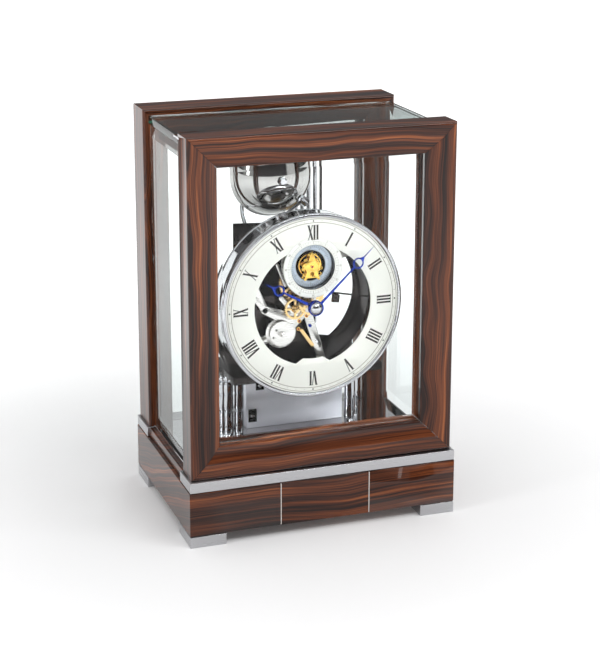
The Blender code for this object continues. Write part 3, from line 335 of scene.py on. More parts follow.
def refined(name, finish, edge=0.0, sharp=32.0):
    """A CAD node's own shape with its facets welded, round faces smooth and edges softened."""
    mesh = NODES[name].data.copy()
    shape = bmesh.new()
    shape.from_mesh(mesh)
    bmesh.ops.remove_doubles(shape, verts=shape.verts, dist=2e-6)
    bmesh.ops.dissolve_limit(shape, angle_limit=math.radians(0.5), verts=shape.verts, edges=shape.edges)
    obj = from_bmesh(name + "_finish", shape, finish, sharp)
    if edge:
        rounding = obj.modifiers.new("edges", "BEVEL")
        rounding.width = edge
        rounding.segments = 2
        rounding.limit_method = "ANGLE"
        rounding.angle_limit = math.radians(sharp)
        rounding.harden_normals = False
    weighted = obj.modifiers.new("flat_faces", "WEIGHTED_NORMAL")
    weighted.keep_sharp = True
    applied(obj, finish, 60.0 if edge else sharp)
    return stand_in(obj, name)


def to_front(place):
    """From the dial's plane to the clock's axes."""
    return Matrix.Translation(place) @ Matrix.Rotation(math.radians(90), 4, "X")


def turned(name, profile, place, finish, upright=False, steps=96, sharp=30.0):
    """A turned shape from (radius, height) in mm, from its front or top down its outer side."""
    shape = bmesh.new()
    ring = profile[0] == profile[-1]
    points = profile[:-1] if ring else profile
    rows = []
    for radius, height in points:
        if radius < 1e-6:
            rows.append([shape.verts.new((0.0, 0.0, height * MM))] * steps)
            continue
        row = []
        for i in range(steps):
            turn = 2 * math.pi * i / steps
            spot = (radius * MM * math.cos(turn), radius * MM * math.sin(turn), height * MM)
            row.append(shape.verts.new(spot))
        rows.append(row)
    pairs = list(zip(rows, rows[1:])) + ([(rows[-1], rows[0])] if ring else [])
    for upper, lower in pairs:
        for i in range(steps):
            j = (i + 1) % steps
            corners = []
            for vert in (upper[i], upper[j], lower[j], lower[i]):
                if vert not in corners:
                    corners.append(vert)
            if len(corners) > 2:
                shape.faces.new(corners)
    shape.transform(Matrix.Translation(place) if upright else to_front(place))
    return from_bmesh(name, shape, finish, sharp)


def arc(radius, start, end, steps, centre=(0.0, 0.0)):
    """Points on a circle from start to end degrees, counter-clockwise from +x."""
    points = []
    for i in range(steps + 1):
        turn = math.radians(start + (end - start) * i / steps)
        points.append((centre[0] + radius * math.cos(turn), centre[1] + radius * math.sin(turn)))
    return points


def circle(radius, centre=(0.0, 0.0), steps=48):
    return arc(radius, 0, 360, steps, centre)[:-1]


def clockwise(points, degrees):
    turn = math.radians(degrees)
    cos, sin = math.cos(turn), math.sin(turn)
    return [(x * cos + y * sin, y * cos - x * sin) for x, y in points]


def capsule(start, end, radius, steps=10):
    turn = math.degrees(math.atan2(end[1] - start[1], end[0] - start[0]))
    return arc(radius, turn - 90, turn + 90, steps, end) + arc(radius, turn + 90, turn + 270, steps, start)


def cut_out(name, loops, back, thickness, finish, edge=0.0):
    """Outlines in mm in the dial's plane, with holes inside them, cut from sheet with softened edges."""
    curve = bpy.data.curves.new(name, "CURVE")
    curve.dimensions = "2D"
    curve.fill_mode = "BOTH"
    curve.extrude = thickness / 2 * MM - edge * MM
    curve.bevel_depth = edge * MM
    curve.bevel_resolution = 1
    curve.offset = -edge * MM
    for loop in loops:
        spline = curve.splines.new("POLY")
        spline.points.add(len(loop) - 1)
        for point, (x, y) in zip(spline.points, loop):
            point.co = (x * MM, y * MM, 0.0, 1.0)
        spline.use_cyclic_u = True
    drawn = bpy.data.objects.new(name + "_outline", curve)
    bpy.context.scene.collection.objects.link(drawn)
    bpy.context.view_layer.update()
    graph = bpy.context.evaluated_depsgraph_get()
    mesh = bpy.data.meshes.new_from_object(drawn.evaluated_get(graph))
    bpy.data.objects.remove(drawn)
    shape = bmesh.new()
    shape.from_mesh(mesh)
    bmesh.ops.remove_doubles(shape, verts=shape.verts, dist=1e-7)
    place = Vector((0.0, back - thickness / 2 * MM, AXIS.z))
    shape.transform(to_front(place))
    return from_bmesh(name, shape, finish)


def prisms(name, outlines, back, thickness, finish, sharp=30.0):
    """Flat-topped pieces of print or metal, one for each outline in mm in the dial's plane."""
    shape = bmesh.new()
    for outline in outlines:
        low = [shape.verts.new((x * MM, y * MM, 0.0)) for x, y in outline]
        high = [shape.verts.new((x * MM, y * MM, thickness * MM)) for x, y in outline]
        shape.faces.new(high)
        shape.faces.new(low[::-1])
        for i in range(len(outline)):
            j = (i + 1) % len(outline)
            shape.faces.new((low[i], low[j], high[j], high[i]))
    shape.transform(to_front(Vector((0.0, back, AXIS.z))))
    return from_bmesh(name, shape, finish, sharp)


def joined(name, pieces):
    """Several objects as one, in the material of the first."""
    shape = bmesh.new()
    finish = pieces[0].data.materials[0]
    for piece in pieces:
        shape.from_mesh(piece.data)
        bpy.data.objects.remove(piece)
    return from_bmesh(name, shape, finish)


# ---------------------------------------------------------------- camera and studio
def make_camera():
    """Stands to the left of the clock and a little above it."""
    target = Vector((0.0114, 0.0079, 0.2530))
    azimuth, elevation, roll = (math.radians(angle) for angle in (-19.304, 14.604, 0.056))
    distance = 1.698
    back = Vector((math.sin(azimuth) * math.cos(elevation), -math.cos(azimuth) * math.cos(elevation),
                   math.sin(elevation)))
    camera = bpy.data.objects.new("camera", bpy.data.cameras.new("camera"))
    bpy.context.scene.collection.objects.link(camera)
    camera.data.lens = 96.6
    camera.data.sensor_width = 36.0
    camera.data.shift_y = -0.123
    camera.data.clip_start = 0.01
    turn = back.to_track_quat("Z", "Y").to_matrix().to_4x4() @ Matrix.Rotation(roll, 4, "Z")
    camera.matrix_world = Matrix.Translation(target + back * distance) @ turn
    bpy.context.scene.camera = camera


def softbox(name, place, aim, size, power):
    """A rectangular lamp that faces the point aim."""
    lamp = bpy.data.lights.new(name, "AREA")
    lamp.shape = "RECTANGLE"
    lamp.size, lamp.size_y = size
    lamp.energy = power
    obj = bpy.data.objects.new(name, lamp)
    bpy.context.scene.collection.objects.link(obj)
    place = Vector(place)
    turn = (place - Vector(aim)).to_track_quat("Z", "Y").to_matrix().to_4x4()
    obj.matrix_world = Matrix.Translation(place) @ turn


def make_studio():
    """Pale dome with a dark and bright front, two lamps, and a floor whose glow is painted light: faint near
    the clock, a painted shade round its foot, and brighter away from it.
    """
    scene = bpy.context.scene
    scene.view_settings.view_transform = "Standard"
    world = bpy.data.worlds.new("studio")
    world.use_nodes = True
    scene.world = world
    tree = world.node_tree
    background = tree.nodes["Background"]
    coordinates = node(tree, "ShaderNodeTexCoord")
    split = node(tree, "ShaderNodeSeparateXYZ")
    tree.links.new(coordinates.outputs["Generated"], split.inputs["Vector"])
    x, y, z = split.outputs
    dome = ramp(tree, z, [(0.0, (0.10, 0.095, 0.10)), (0.22, (0.16, 0.15, 0.15)), (0.42, (0.75, 0.74, 0.75)),
                          (0.60, (1.20, 1.20, 1.20))])
    flat = math_node(tree, "SQRT", math_node(tree, "ADD", math_node(tree, "MULTIPLY", x, x),
                                             math_node(tree, "MULTIPLY", y, y)), 0.0)
    bearing = math_node(tree, "DIVIDE", x, math_node(tree, "MAXIMUM", flat, 0.001))
    strips = ramp(tree, math_node(tree, "ADD", math_node(tree, "MULTIPLY", bearing, 0.5), 0.5),
                  [(0.0, (0.55, 0.53, 0.53)), (0.13, (0.55, 0.53, 0.53)), (0.17, (0.06, 0.05, 0.05)),
                   (0.74, (0.05, 0.045, 0.05)), (0.78, (1.0, 1.0, 1.0)), (0.90, (1.0, 1.0, 1.0)),
                   (0.94, (0.10, 0.10, 0.10))])
    front = node(tree, "ShaderNodeMapRange")
    front.inputs["From Min"].default_value = 0.15
    front.inputs["From Max"].default_value = -0.15
    tree.links.new(y, front.inputs["Value"])
    low = node(tree, "ShaderNodeMapRange")
    low.inputs["From Min"].default_value = 0.62
    low.inputs["From Max"].default_value = 0.45
    tree.links.new(z, low.inputs["Value"])
    mixed = node(tree, "ShaderNodeMix", data_type="RGBA")
    tree.links.new(math_node(tree, "MULTIPLY", front.outputs["Result"], low.outputs["Result"]),
                   mixed.inputs["Factor"])
    tree.links.new(dome, mixed.inputs["A"])
    tree.links.new(strips, mixed.inputs["B"])
    tree.links.new(mixed.outputs["Result"], background.inputs["Color"])
    background.inputs["Strength"].default_value = 0.80
    softbox("overhead", (0.65, -1.35, 1.75), (0.0, 0.0, 0.1), (1.9, 0.16), 18.0)
    softbox("left_bank", (-1.7, -0.5, 0.9), (0.0, 0.0, 0.2), (0.35, 1.2), 5.0)
    shape = bmesh.new()
    bmesh.ops.create_grid(shape, x_segments=1, y_segments=1, size=14.0)
    made, tree, main = shader("pale_floor", Roughness=0.7, Specular_IOR_Level=0.1,
                              Emission_Color=(1.0, 1.0, 1.0))
    place = node(tree, "ShaderNodeTexCoord")
    away = node(tree, "ShaderNodeVectorMath", operation="LENGTH")
    tree.links.new(place.outputs["Object"], away.inputs[0])
    # painted light: the floor glows, faintly near the clock and more away from it, which paints a shade round
    # the clock's foot
    painted_floor_glow = node(tree, "ShaderNodeMapRange", interpolation_type="SMOOTHSTEP")
    for key, value in (("From Min", 0.20), ("From Max", 0.90), ("To Min", 0.06), ("To Max", 0.56)):
        painted_floor_glow.inputs[key].default_value = value
    tree.links.new(away.outputs["Value"], painted_floor_glow.inputs["Value"])
    tree.links.new(painted_floor_glow.outputs["Result"], main.inputs["Emission Strength"])
    speck = noise(tree, stretched(tree, (1.0, 1.0, 1.0)), 3.0, 2.0)
    tree.links.new(ramp(tree, speck, [(0.3, (0.88, 0.88, 0.885)), (0.7, (0.89, 0.89, 0.895))]),
                   main.inputs["Base Color"])
    floor = from_bmesh("studio_floor", shape, made)


# ---------------------------------------------------------------- case
RAIL = 29.5               # a rail's width in mm
CORNER = 2.6              # radius of its outer edge
CREST = 10.0              # where its face starts to fall
FALL = 6.8                # and how far it falls
FACE_V = 0.4              # of its face behind the front of its box


def rail_profile(depth, groove_from, groove):
    """Section of a rail in mm: u runs in from its outer edge, v runs back from its front."""
    points = [(u, v + FACE_V) for u, v in arc(CORNER, 180, 270, 10, (CORNER, CORNER))]
    last = RAIL - 1.2
    steps = 22
    for i in range(1, steps + 1):
        u = CREST + (last - CREST) * i / steps
        points.append((u, FACE_V + FALL * ((u - CREST) / (last - CREST)) ** 2))
    points += arc(1.2, -50, 0, 4, (RAIL - 1.2, FACE_V + FALL + 1.0))
    front, rear = groove_from, groove_from + groove
    points += [(RAIL, front), (RAIL - 5.0, front), (RAIL - 5.0, rear), (RAIL, rear)]
    points += [(RAIL, depth - 0.6), (RAIL - 0.6, depth), (0.6, depth), (0.0, depth - 0.6)]
    return points


def rail(name, inward, mitred, finish, cutters=()):
    """The finer piece for a rail or stile, in the CAD rail's own place."""
    low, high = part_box(name)
    middle = (low + high) / 2
    inward = Vector(inward)
    along = inward.cross(Vector((0.0, 1.0, 0.0)))
    half = abs((high - low).dot(along)) / 2 / MM
    depth = (high.y - low.y) / MM + FACE_V
    groove_from = 12.0 if name.startswith("door") else 12.3
    outer = middle - inward * abs((high - low).dot(inward)) / 2
    place = Vector((outer.x, low.y - FACE_V * MM, outer.z))
    shape = bmesh.new()
    profile = rail_profile(depth, groove_from, 5.6)
    ends = []
    for sign, cut in ((-1, mitred[0]), (1, mitred[1])):
        ends.append([shape.verts.new((sign * (half - (u if cut else 0.0)) * MM, u * MM, v * MM))
                     for u, v in profile])
        shape.faces.new(ends[-1])
    for i in range(len(profile)):
        j = (i + 1) % len(profile)
        shape.faces.new((ends[0][i], ends[0][j], ends[1][j], ends[1][i]))
    turn = Matrix((along, inward, Vector((0.0, 1.0, 0.0)))).transposed().to_4x4()
    shape.transform(Matrix.Translation(place) @ turn)
    obj = from_bmesh(name + "_veneer", shape, finish, 28.0)
    for cutter in cutters:
        boolean = obj.modifiers.new("notch", "BOOLEAN")
        boolean.operation = "DIFFERENCE"
        boolean.object = cutter
        boolean.solver = "EXACT"
    weighted = obj.modifiers.new("flat_faces", "WEIGHTED_NORMAL")
    weighted.keep_sharp = True
    applied(obj, finish, 28.0)
    return stand_in(obj, name)


def block(name, low, high):
    shape = bmesh.new()
    bmesh.ops.create_cube(shape, size=1.0)
    low, high = Vector(low), Vector(high)
    bmesh.ops.scale(shape, vec=high - low, verts=shape.verts)
    bmesh.ops.translate(shape, vec=(low + high) / 2, verts=shape.verts)
    return from_bmesh(name, shape, MATERIALS["chrome"])


def make_case():
    across = {"top": macassar("veneer_across_top", 0, 3.0),
              "bottom": macassar("veneer_across_bottom", 0, 11.5)}
    upright = {"left": macassar("veneer_upright_left", 2, 21.0),
               "right": macassar("veneer_upright_right", 2, 34.2)}
    back_across = macassar("veneer_back_across", 0, 47.0)
    arm_low, arm_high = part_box("hinge_arm_upper")
    slack = 0.4 * MM
    notch = block("notch", (arm_low.x - 5 * MM, arm_low.y - slack, arm_low.z + 3.5 * MM),
                  (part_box("glass_top")[0].x + slack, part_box("glass_top")[0].y, arm_high.z + slack))
    rail("door_rail_top", (0, 0, -1), (True, True), across["top"], [notch])
    rail("door_rail_bottom", (0, 0, 1), (True, True), across["bottom"])
    rail("door_stile_left", (1, 0, 0), (True, True), upright["left"], [notch])
    rail("door_stile_right", (-1, 0, 0), (True, True), upright["right"])
    rail("back_rail_top", (0, 0, -1), (True, True), back_across)
    rail("back_stile_left", (1, 0, 0), (False, True), macassar("veneer_back_left", 2, 55.0))
    rail("back_stile_right", (-1, 0, 0), (True, False), macassar("veneer_back_right", 2, 63.0))
    bpy.data.objects.remove(notch)
    refined("plinth", macassar("veneer_plinth", 0, 71.4), 0.0, 40.0)
    refined("case_floor", macassar("veneer_board", 0, 82.0), 0.0, 40.0)
    steel = MATERIALS["satin_steel"]
    for name in ("foot_front_left", "foot_front_right", "foot_rear_left", "foot_rear_right", "sill_front",
                 "sill_rear"):
        refined(name, steel, 0.0, 40.0)
    refined("floor_plate", MATERIALS["mirror"], 0.0, 40.0)
    for name in ("inlay_left", "inlay_right"):
        refined(name, MATERIALS["inlay"], 0.0, 40.0)
    refined("door_glass", MATERIALS["door_glass"], 0.0, 3.0)
    for name in ("back_glass", "glass_left", "glass_right"):
        refined(name, MATERIALS["clear_glass"], 0.0, 3.0)
    refined("glass_top", MATERIALS["roof_glass"], 0.0, 60.0)
    refined("hinge_arm_upper", MATERIALS["chrome"], 0.15 * MM)
    refined("hinge_pin_lower", MATERIALS["chrome"])


# ---------------------------------------------------------------- stand
def make_stand():
    chrome = MATERIALS["chrome"]
    for name in ("column_left_outer", "column_left_inner", "column_right_inner", "column_right_outer"):
        low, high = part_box(name)
        top = (high.z - low.z) / MM
        profile = [(0.0, top), (4.4, top), (4.8, top - 0.4), (4.8, top - 1.6)]
        profile += arc(5.3, 57, -46, 14, (0.0, top - 7.4))
        profile += [(4.2, top - 11.8), (4.2, top - 12.6), (4.9, top - 13.2), (5.0, top - 15.0),
                    (5.0, top - 22.0), (4.6, top - 22.3), (4.6, top - 24.6), (5.0, top - 24.9),
                    (5.0, 21.6), (4.3, 21.2), (4.3, 19.4), (5.0, 19.0), (5.0, 12.4),
                    (4.7, 12.2), (4.7, 11.8), (5.0, 11.6), (5.0, 3.2), (5.2, 2.8), (5.3, 2.4),
                    (5.3, 0.0), (0.0, 0.0)]
        place = Vector(((low.x + high.x) / 2, (low.y + high.y) / 2, low.z))
        stand_in(turned(name + "_turned", profile, place, chrome, True, 64), name)
    refined("movement_seat", MATERIALS["dark_plate"], 0.0, 40.0)
    refined("pedestal", MATERIALS["pedestal"], 0.12 * MM)
    low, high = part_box("pedestal")
    for name, x, up, size in (("lower_left", low.x + 6.2 * MM, 13.0, 6.6),
                              ("upper_left", low.x + 14.0 * MM, 44.0, 5.0)):
        x, up = x / MM, (low.z - AXIS.z) / MM + up
        clip = [(x - 4.2, up - size), (x + 4.2, up - size), (x + 4.2, up + size), (x - 4.2, up + size)]
        show(prisms("pedestal_clip_" + name, [clip], low.y - 0.05 * MM, 0.9, MATERIALS["dark_plate"]), "case",
             "dark_plate")
        screw("pedestal_screw_" + name, (x, up), low.y - 0.9 * MM, 1.8, 40)


# ---------------------------------------------------------------- dial
HEIGHT = 14.2             # of a numeral
STROKE = 1.85
HAIR = 0.75
FOOT_R = 64.3             # from the hands' axis to a numeral's foot
NUMERALS = ["XII", "I", "II", "III", "IIII", "V", "VI", "VII", "VIII", "IX", "X", "XI"]
PITCH = {"I": 2.95, "V": 4.9, "X": 5.0}


def slanted(bottom, top, width):
    """A stroke from its foot to its head, width across."""
    half = width / 2
    return [(bottom - half, 0.0), (bottom + half, 0.0), (top + half, HEIGHT), (top - half, HEIGHT)]


def serif(x, y, half):
    low = y if y == 0.0 else y - 0.32
    return [(x - half, low), (x + half, low), (x + half, low + 0.32), (x - half, low + 0.32)]


def glyph(letter):
    if letter == "I":
        return [slanted(0.0, 0.0, STROKE), serif(0.0, 0.0, 1.45), serif(0.0, HEIGHT, 1.45)]
    if letter == "V":
        return [slanted(0.25, -1.9, STROKE), slanted(0.45, 2.1, HAIR), serif(-1.9, HEIGHT, 1.35),
                serif(2.1, HEIGHT, 1.0)]
    return [slanted(1.95, -1.95, STROKE), slanted(-2.0, 2.0, HAIR), serif(-1.95, HEIGHT, 1.3),
            serif(2.0, HEIGHT, 1.0), serif(-2.0, 0.0, 1.0), serif(1.95, 0.0, 1.3)]


def numeral(text, hour):
    width = sum(PITCH[c] for c in text)
    at, outlines = -width / 2, []
    for letter in text:
        for outline in glyph(letter):
            moved = [(x + at + PITCH[letter] / 2, y + FOOT_R) for x, y in outline]
            outlines.append(clockwise(moved, 30 * hour))
        at += PITCH[letter]
    return outlines


def hoop(name, inner, outer, height, finish, centre=(0.0, 0.0), steps=128):
    place = Vector((centre[0] * MM, DIAL_FRONT, AXIS.z + centre[1] * MM))
    profile = [(inner, height), (outer, height), (outer, -0.02), (inner, -0.02), (inner, height)]
    return turned(name, profile, place, finish, False, steps)


def make_dial():
    opening_r, sub_r, hole_r = 58.0, 29.5, 21.8
    cross_y = (opening_r ** 2 - sub_r ** 2 + SUB_Y ** 2) / (2 * SUB_Y)
    cross_x = math.sqrt(opening_r ** 2 - cross_y ** 2)
    right = math.degrees(math.atan2(cross_y, cross_x))
    sub_right = math.degrees(math.atan2(cross_y - SUB_Y, cross_x))
    tab = 17.0
    opening = arc(opening_r, right, -90 + tab, 60)
    opening += arc(opening_r - 6.2, -90 + tab - 6, -90 - tab + 6, 20)
    opening += arc(opening_r, -90 - tab, -180 - right, 60)
    opening += arc(sub_r, 180 - sub_right, 360 + sub_right, 70, (0.0, SUB_Y))[1:-1]
    loops = [circle(DIAL_R, steps=160), opening, circle(hole_r, (0.0, SUB_Y), 96)]
    plate = cut_out("dial_silvered", loops, DIAL_BACK, (DIAL_BACK - DIAL_FRONT) / MM, MATERIALS["dial"], 0.12)
    stand_in(plate, "dial")
    ink, tan = MATERIALS["ink"], MATERIALS["tan"]
    outlines = [o for hour, text in enumerate(NUMERALS) for o in numeral(text, hour)]
    show(prisms("dial_numerals", outlines, DIAL_FRONT + 0.02 * MM, 0.05, ink), "case", "blued_steel")
    for i, (inner, outer) in enumerate(((80.45, 80.90), (83.9, 84.35))):
        show(hoop(f"minute_circle_{i + 1}", inner, outer, 0.02, tan, steps=160), "case", "dark_plate")
    dots = []
    for minute in range(60):
        hour = minute % 5 == 0
        radius = 0.95 if hour else 0.34
        dots.append(clockwise(circle(radius, (0.0, 82.4), 4 if hour else 8), 6 * minute))
    show(prisms("minute_dots", dots, DIAL_FRONT + 0.02 * MM, 0.05, ink), "case", "dark_plate")
    show(hoop("sub_dial_annulus", 22.1, 29.2, 0.012, MATERIALS["sub_dial"], (0.0, SUB_Y)), "case", "dial")
    for i, radius in enumerate((22.6, 25.2, 28.9)):
        show(hoop(f"seconds_circle_{i + 1}", radius, radius + 0.10, 0.03, tan, (0.0, SUB_Y)), "case",
             "dark_plate")
    ticks = []
    for second in range(60):
        half = 0.16 if second % 5 == 0 else 0.08
        tick = clockwise([(-half, 22.7), (half, 22.7), (half, 25.2), (-half, 25.2)], 6 * second)
        ticks.append([(x, y + SUB_Y) for x, y in tick])
    show(prisms("seconds_ticks", ticks, DIAL_FRONT + 0.02 * MM, 0.05, tan), "case", "dark_plate")
    show(seconds_figures(tan), "case", "dark_plate")
    edge = DIAL_R
    bezel = [(edge + 0.3, 2.5), (edge + 0.9, 3.2), (edge + 1.2, 3.45), (edge + 1.6, 3.5), (edge + 2.0, 3.4),
             (edge + 2.2, 2.95), (edge + 2.5, 2.85), (edge + 2.9, 2.9), (edge + 3.5, 2.6), (edge + 3.8, 2.0),
             (edge + 3.9, 1.2), (edge + 3.9, 0.0), (edge + 0.3, 0.0), (edge + 0.3, 2.5)]
    place = Vector((0.0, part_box("dial_bezel")[1].y, AXIS.z))
    stand_in(turned("bezel_turned", bezel, place, MATERIALS["chrome"], False, 192, 40.0), "dial_bezel")
    low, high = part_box("dial_drum")
    outer, depth = (high.x - low.x) / 2 / MM, (high.y - low.y) / MM
    drum = [(outer - 2.0, depth), (outer - 0.3, depth), (outer, depth - 0.3), (outer, 4.6),
            (outer - 0.25, 4.3), (outer - 0.25, 3.3), (outer, 3.0), (outer, 0.3), (outer - 0.3, 0.0),
            (outer - 2.0, 0.0), (outer - 2.0, depth)]
    place = Vector((0.0, high.y, AXIS.z))
    stand_in(turned("drum_turned", drum, place, MATERIALS["chrome"], False, 192, 40.0), "dial_drum")


def seconds_figures(finish):
    """The seconds, every five, round the tourbillon."""
    figures = []
    for i in range(12):
        text = bpy.data.curves.new("figure", "FONT")
        text.body = str(5 * i if i else 60)
        text.size = 2.6 * MM
        text.align_x, text.align_y = "CENTER", "CENTER"
        text.extrude = 0.02 * MM
        text.resolution_u = 2
        drawn = bpy.data.objects.new("figure", text)
        bpy.context.scene.collection.objects.link(drawn)
        turn = math.radians(-30 * i)
        spot = Vector((27.05 * MM * math.sin(-turn), DIAL_FRONT - 0.02 * MM,
                       AXIS.z + SUB_Y * MM + 27.05 * MM * math.cos(turn)))
        drawn.matrix_world = to_front(spot) @ Matrix.Rotation(turn, 4, "Z")
        bpy.context.view_layer.update()
        graph = bpy.context.evaluated_depsgraph_get()
        mesh = bpy.data.meshes.new_from_object(drawn.evaluated_get(graph))
        mesh.transform(drawn.matrix_world)
        bpy.data.objects.remove(drawn)
        figures.append(link("figure", mesh, finish))
    return joined("seconds_figures", figures)


def hand_outline(hub, root_half, neck_half, ring_at, ring, tip):
    """A Breguet hand that points to twelve, in mm."""
    half = arc(hub, -90, math.degrees(math.acos(root_half / hub)), 20)
    low = math.degrees(math.asin(-math.sqrt(1 - (neck_half / ring) ** 2)))
    half += arc(ring, low, 62, 24, (0.0, ring_at))
    half.append((0.6, ring_at + ring + 2.5))
    return half + [(0.0, tip)] + [(-x, y) for x, y in reversed(half[1:])]


def make_hands():
    blue = MATERIALS["blued_steel"]
    hands = {
        "hour_hand": (299.0, [hand_outline(7.2, 1.5, 0.9, 40.5, 5.4, 58.0), circle(3.7, (0.0, 40.6)),
                              circle(3.5)]),
        "minute_hand": (46.0, [hand_outline(7.4, 1.3, 0.8, 58.0, 5.4, 81.5), circle(3.95, (0.0, 58.1)),
                               circle(1.9)]),
    }
    for name, (angle, loops) in hands.items():
        low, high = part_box(name)
        thick = (high.y - low.y) / MM
        loops = [clockwise(loop, angle) for loop in loops]
        stand_in(cut_out(name + "_blued", loops, high.y, thick, blue, 0.16), name)
    low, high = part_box("hand_cap")
    cap = [(0.0, 3.6)] + arc(7.2, 84, 33, 14, (0.0, -3.6))[1:] + [(6.15, 0.15), (6.0, 0.0), (0.0, 0.0)]
    place = Vector((0.0, high.y, AXIS.z))
    stand_in(turned("hand_cap_domed", cap, place, MATERIALS["chrome"], False, 96), "hand_cap")


# ---------------------------------------------------------------- movement
def screw(name, centre, back, radius, slot_angle, finish=None, body="case", height=1.1):
    """A slotted screw head on a surface at y = back; centre is in mm from the hands' axis."""
    head = [(0.0, height), (radius - 0.35, height), (radius, height - 0.3), (radius, 0.0), (0.0, 0.0)]
    place = Vector((centre[0] * MM, back, AXIS.z + centre[1] * MM))
    finish = finish or MATERIALS["rhodium"]
    obj = turned(name, head, place, finish, False, 32)
    shape = bmesh.new()
    bmesh.ops.create_cube(shape, size=1.0)
    bmesh.ops.scale(shape, vec=(radius * 2.4 * MM, 0.42 * MM, 0.9 * MM), verts=shape.verts)
    shape.transform(to_front(place + Vector((0.0, -height * MM, 0.0)))
                    @ Matrix.Rotation(math.radians(slot_angle), 4, "Z"))
    cutter = from_bmesh("slot", shape, finish)
    boolean = obj.modifiers.new("slot", "BOOLEAN")
    boolean.operation = "DIFFERENCE"
    boolean.object = cutter
    boolean.solver = "EXACT"
    applied(obj, finish)
    bpy.data.objects.remove(cutter)
    return show(obj, body, "nickel")


def jewel(name, centre, back, radius, body="case"):
    """A ruby with its hole and oil sink, in a gilt setting."""
    place = Vector((centre[0] * MM, back, AXIS.z + centre[1] * MM))
    setting = [(radius * 0.62, 0.35), (radius * 0.70, 0.55), (radius * 0.92, 0.55), (radius, 0.45),
               (radius, 0.0), (radius * 0.62, 0.0), (radius * 0.62, 0.35)]
    show(turned(name + "_setting", setting, place, MATERIALS["gold"], False, 40), body, "gold")
    stone = [(0.28, 0.08), (0.7, 0.30), (radius * 0.60, 0.34), (radius * 0.60, 0.0), (0.28, 0.0),
             (0.28, 0.08)]
    show(turned(name + "_stone", stone, place, MATERIALS["ruby"], False, 32), body, "gold")


def toothed(count, root, tip, lean=0.0):
    """A wheel's outline; lean moves each tip round by that share of the pitch."""
    points = []
    for i in range(count):
        for radius, share in ((root, 0.0), (root, 0.30), (tip, 0.44 + lean), (tip, 0.58 + lean)):
            turn = 2 * math.pi * (i + share) / count
            points.append((radius * math.cos(turn), radius * math.sin(turn)))
    return points


def make_movement():
    nickel, brass, dark = MATERIALS["nickel"], MATERIALS["brass"], MATERIALS["dark_plate"]
    refined("front_plate", nickel, 0.16 * MM, 32.0)
    refined("rear_plate", dark, 0.0, 32.0)
    for name in ("centre_wheel", "third_wheel", "minute_wheel", "hour_wheel"):
        refined(name, brass, 0.0, 34.0)
    refined("going_barrel", dark, 0.0, 34.0)
    refined("winding_arbor", nickel, 0.10 * MM, 34.0)
    front = PLATE_FRONT
    pillars = {"lower_left": (-68.1, -43.3), "lower_right": (16.5, -68.0), "upper_right": (56.0, 48.0),
               "upper_left": (-44.2, 67.5)}
    for i, (name, spot) in enumerate(pillars.items()):
        screw("pillar_screw_" + name, spot, front - 0.1 * MM, 3.2, 25 + 40 * i, height=1.9)
    barrel = (-27.09, -28.05)
    holes = [circle(2.3, barrel, 32), circle(1.0, (barrel[0] - 5.5, barrel[1] + 4.1), 20),
             circle(0.9, (barrel[0] - 8.5, barrel[1] - 3.1), 20)]
    ratchet = [(x + barrel[0], y + barrel[1]) for x, y in toothed(64, 12.0, 12.5, -0.2)]
    show(cut_out("ratchet_wheel", [ratchet, *holes], front - 3.3 * MM, 0.8, nickel, 0.08), "winding_arbor",
         "nickel")
    bars = {"bar_left": ((-42.6, -5.0), (-20.7, -18.0), 3.3),
            "bar_upper": ((-30.5, 38.8), (-22.6, 18.6), 1.6),
            "bar_side": ((-51.4, 6.6), (-42.6, -5.0), 2.6),
            "bar_cross": ((-27.0, 6.0), (-12.0, -12.0), 2.2)}
    for name, (start, end, radius) in bars.items():
        raised = 1.0 if name == "bar_cross" else 0.05
        show(cut_out(name, [capsule(start, end, radius)], front - raised * MM, 0.9, nickel, 0.16), "case",
             "nickel")
    click = cut_out("click_spring", [capsule((-6.6, -27.4), (4.5, -43.6), 1.7)], front - 0.05 * MM, 1.3,
                    brass, 0.3)
    show(click, "case", "brass")
    for i, x in enumerate((-58.6, -51.0)):
        stud = [(0.0, 6.0), (2.6, 6.0), (3.0, 5.6), (3.0, 3.4), (2.4, 3.1), (2.4, 0.0), (0.0, 0.0)]
        place = Vector((x * MM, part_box("rear_plate")[1].y - 2.05 * MM, AXIS.z + 48.2 * MM))
        show(turned(f"plate_stud_{i + 1}", stud, place, brass, False, 32), "case", "brass")
    lever = cut_out("strike_lever", [capsule((24.6, 6.8), (62.4, -1.0), 0.75)], front + 1.0 * MM, 1.4, dark,
                    0.15)
    show(lever, "case", "dark_plate")
    weight = [(23.4, -1.8), (30.2, -2.6), (31.0, 4.6), (24.4, 7.4)]
    show(cut_out("lever_weight", [weight], front - 0.45 * MM, 4.0, dark, 0.3), "case", "dark_plate")
    spots = [("bridge_jewel_a", (-1.3, -13.6), 2.0), ("bridge_jewel_b", (-8.6, -18.3), 1.9),
             ("bridge_jewel_c", (-9.6, -26.1), 1.7), ("arm_jewel", (-42.6, -5.0), 1.8)]
    for name, spot, radius in spots:
        jewel(name, spot, front - 0.02 * MM, radius)
    spots = [("bridge_screw_a", (-15.7, -21.5)), ("bridge_screw_b", (2.4, -24.0)),
             ("bridge_screw_c", (9.0, -40.5)), ("arm_screw_a", (-20.7, -18.0)),
             ("arm_screw_b", (-52.0, 15.5)), ("bridge_screw_d", (-4.6, 9.0))]
    for i, (name, spot) in enumerate(spots):
        screw(name, spot, front, 1.5, 35 * i + 12, MATERIALS["blued_steel"] if i % 2 else None, height=0.8)


# ---------------------------------------------------------------- tourbillon
RING_BACK = -52.4         # depths are y in mm
CAGE_FACE = -58.3
SCROLL_BACK = -57.45
HOOP_BACK = -51.2
RIM_Y = -53.9
SPRING_Y = -55.7
RIM_R = 8.6               # of the circle of timing screws


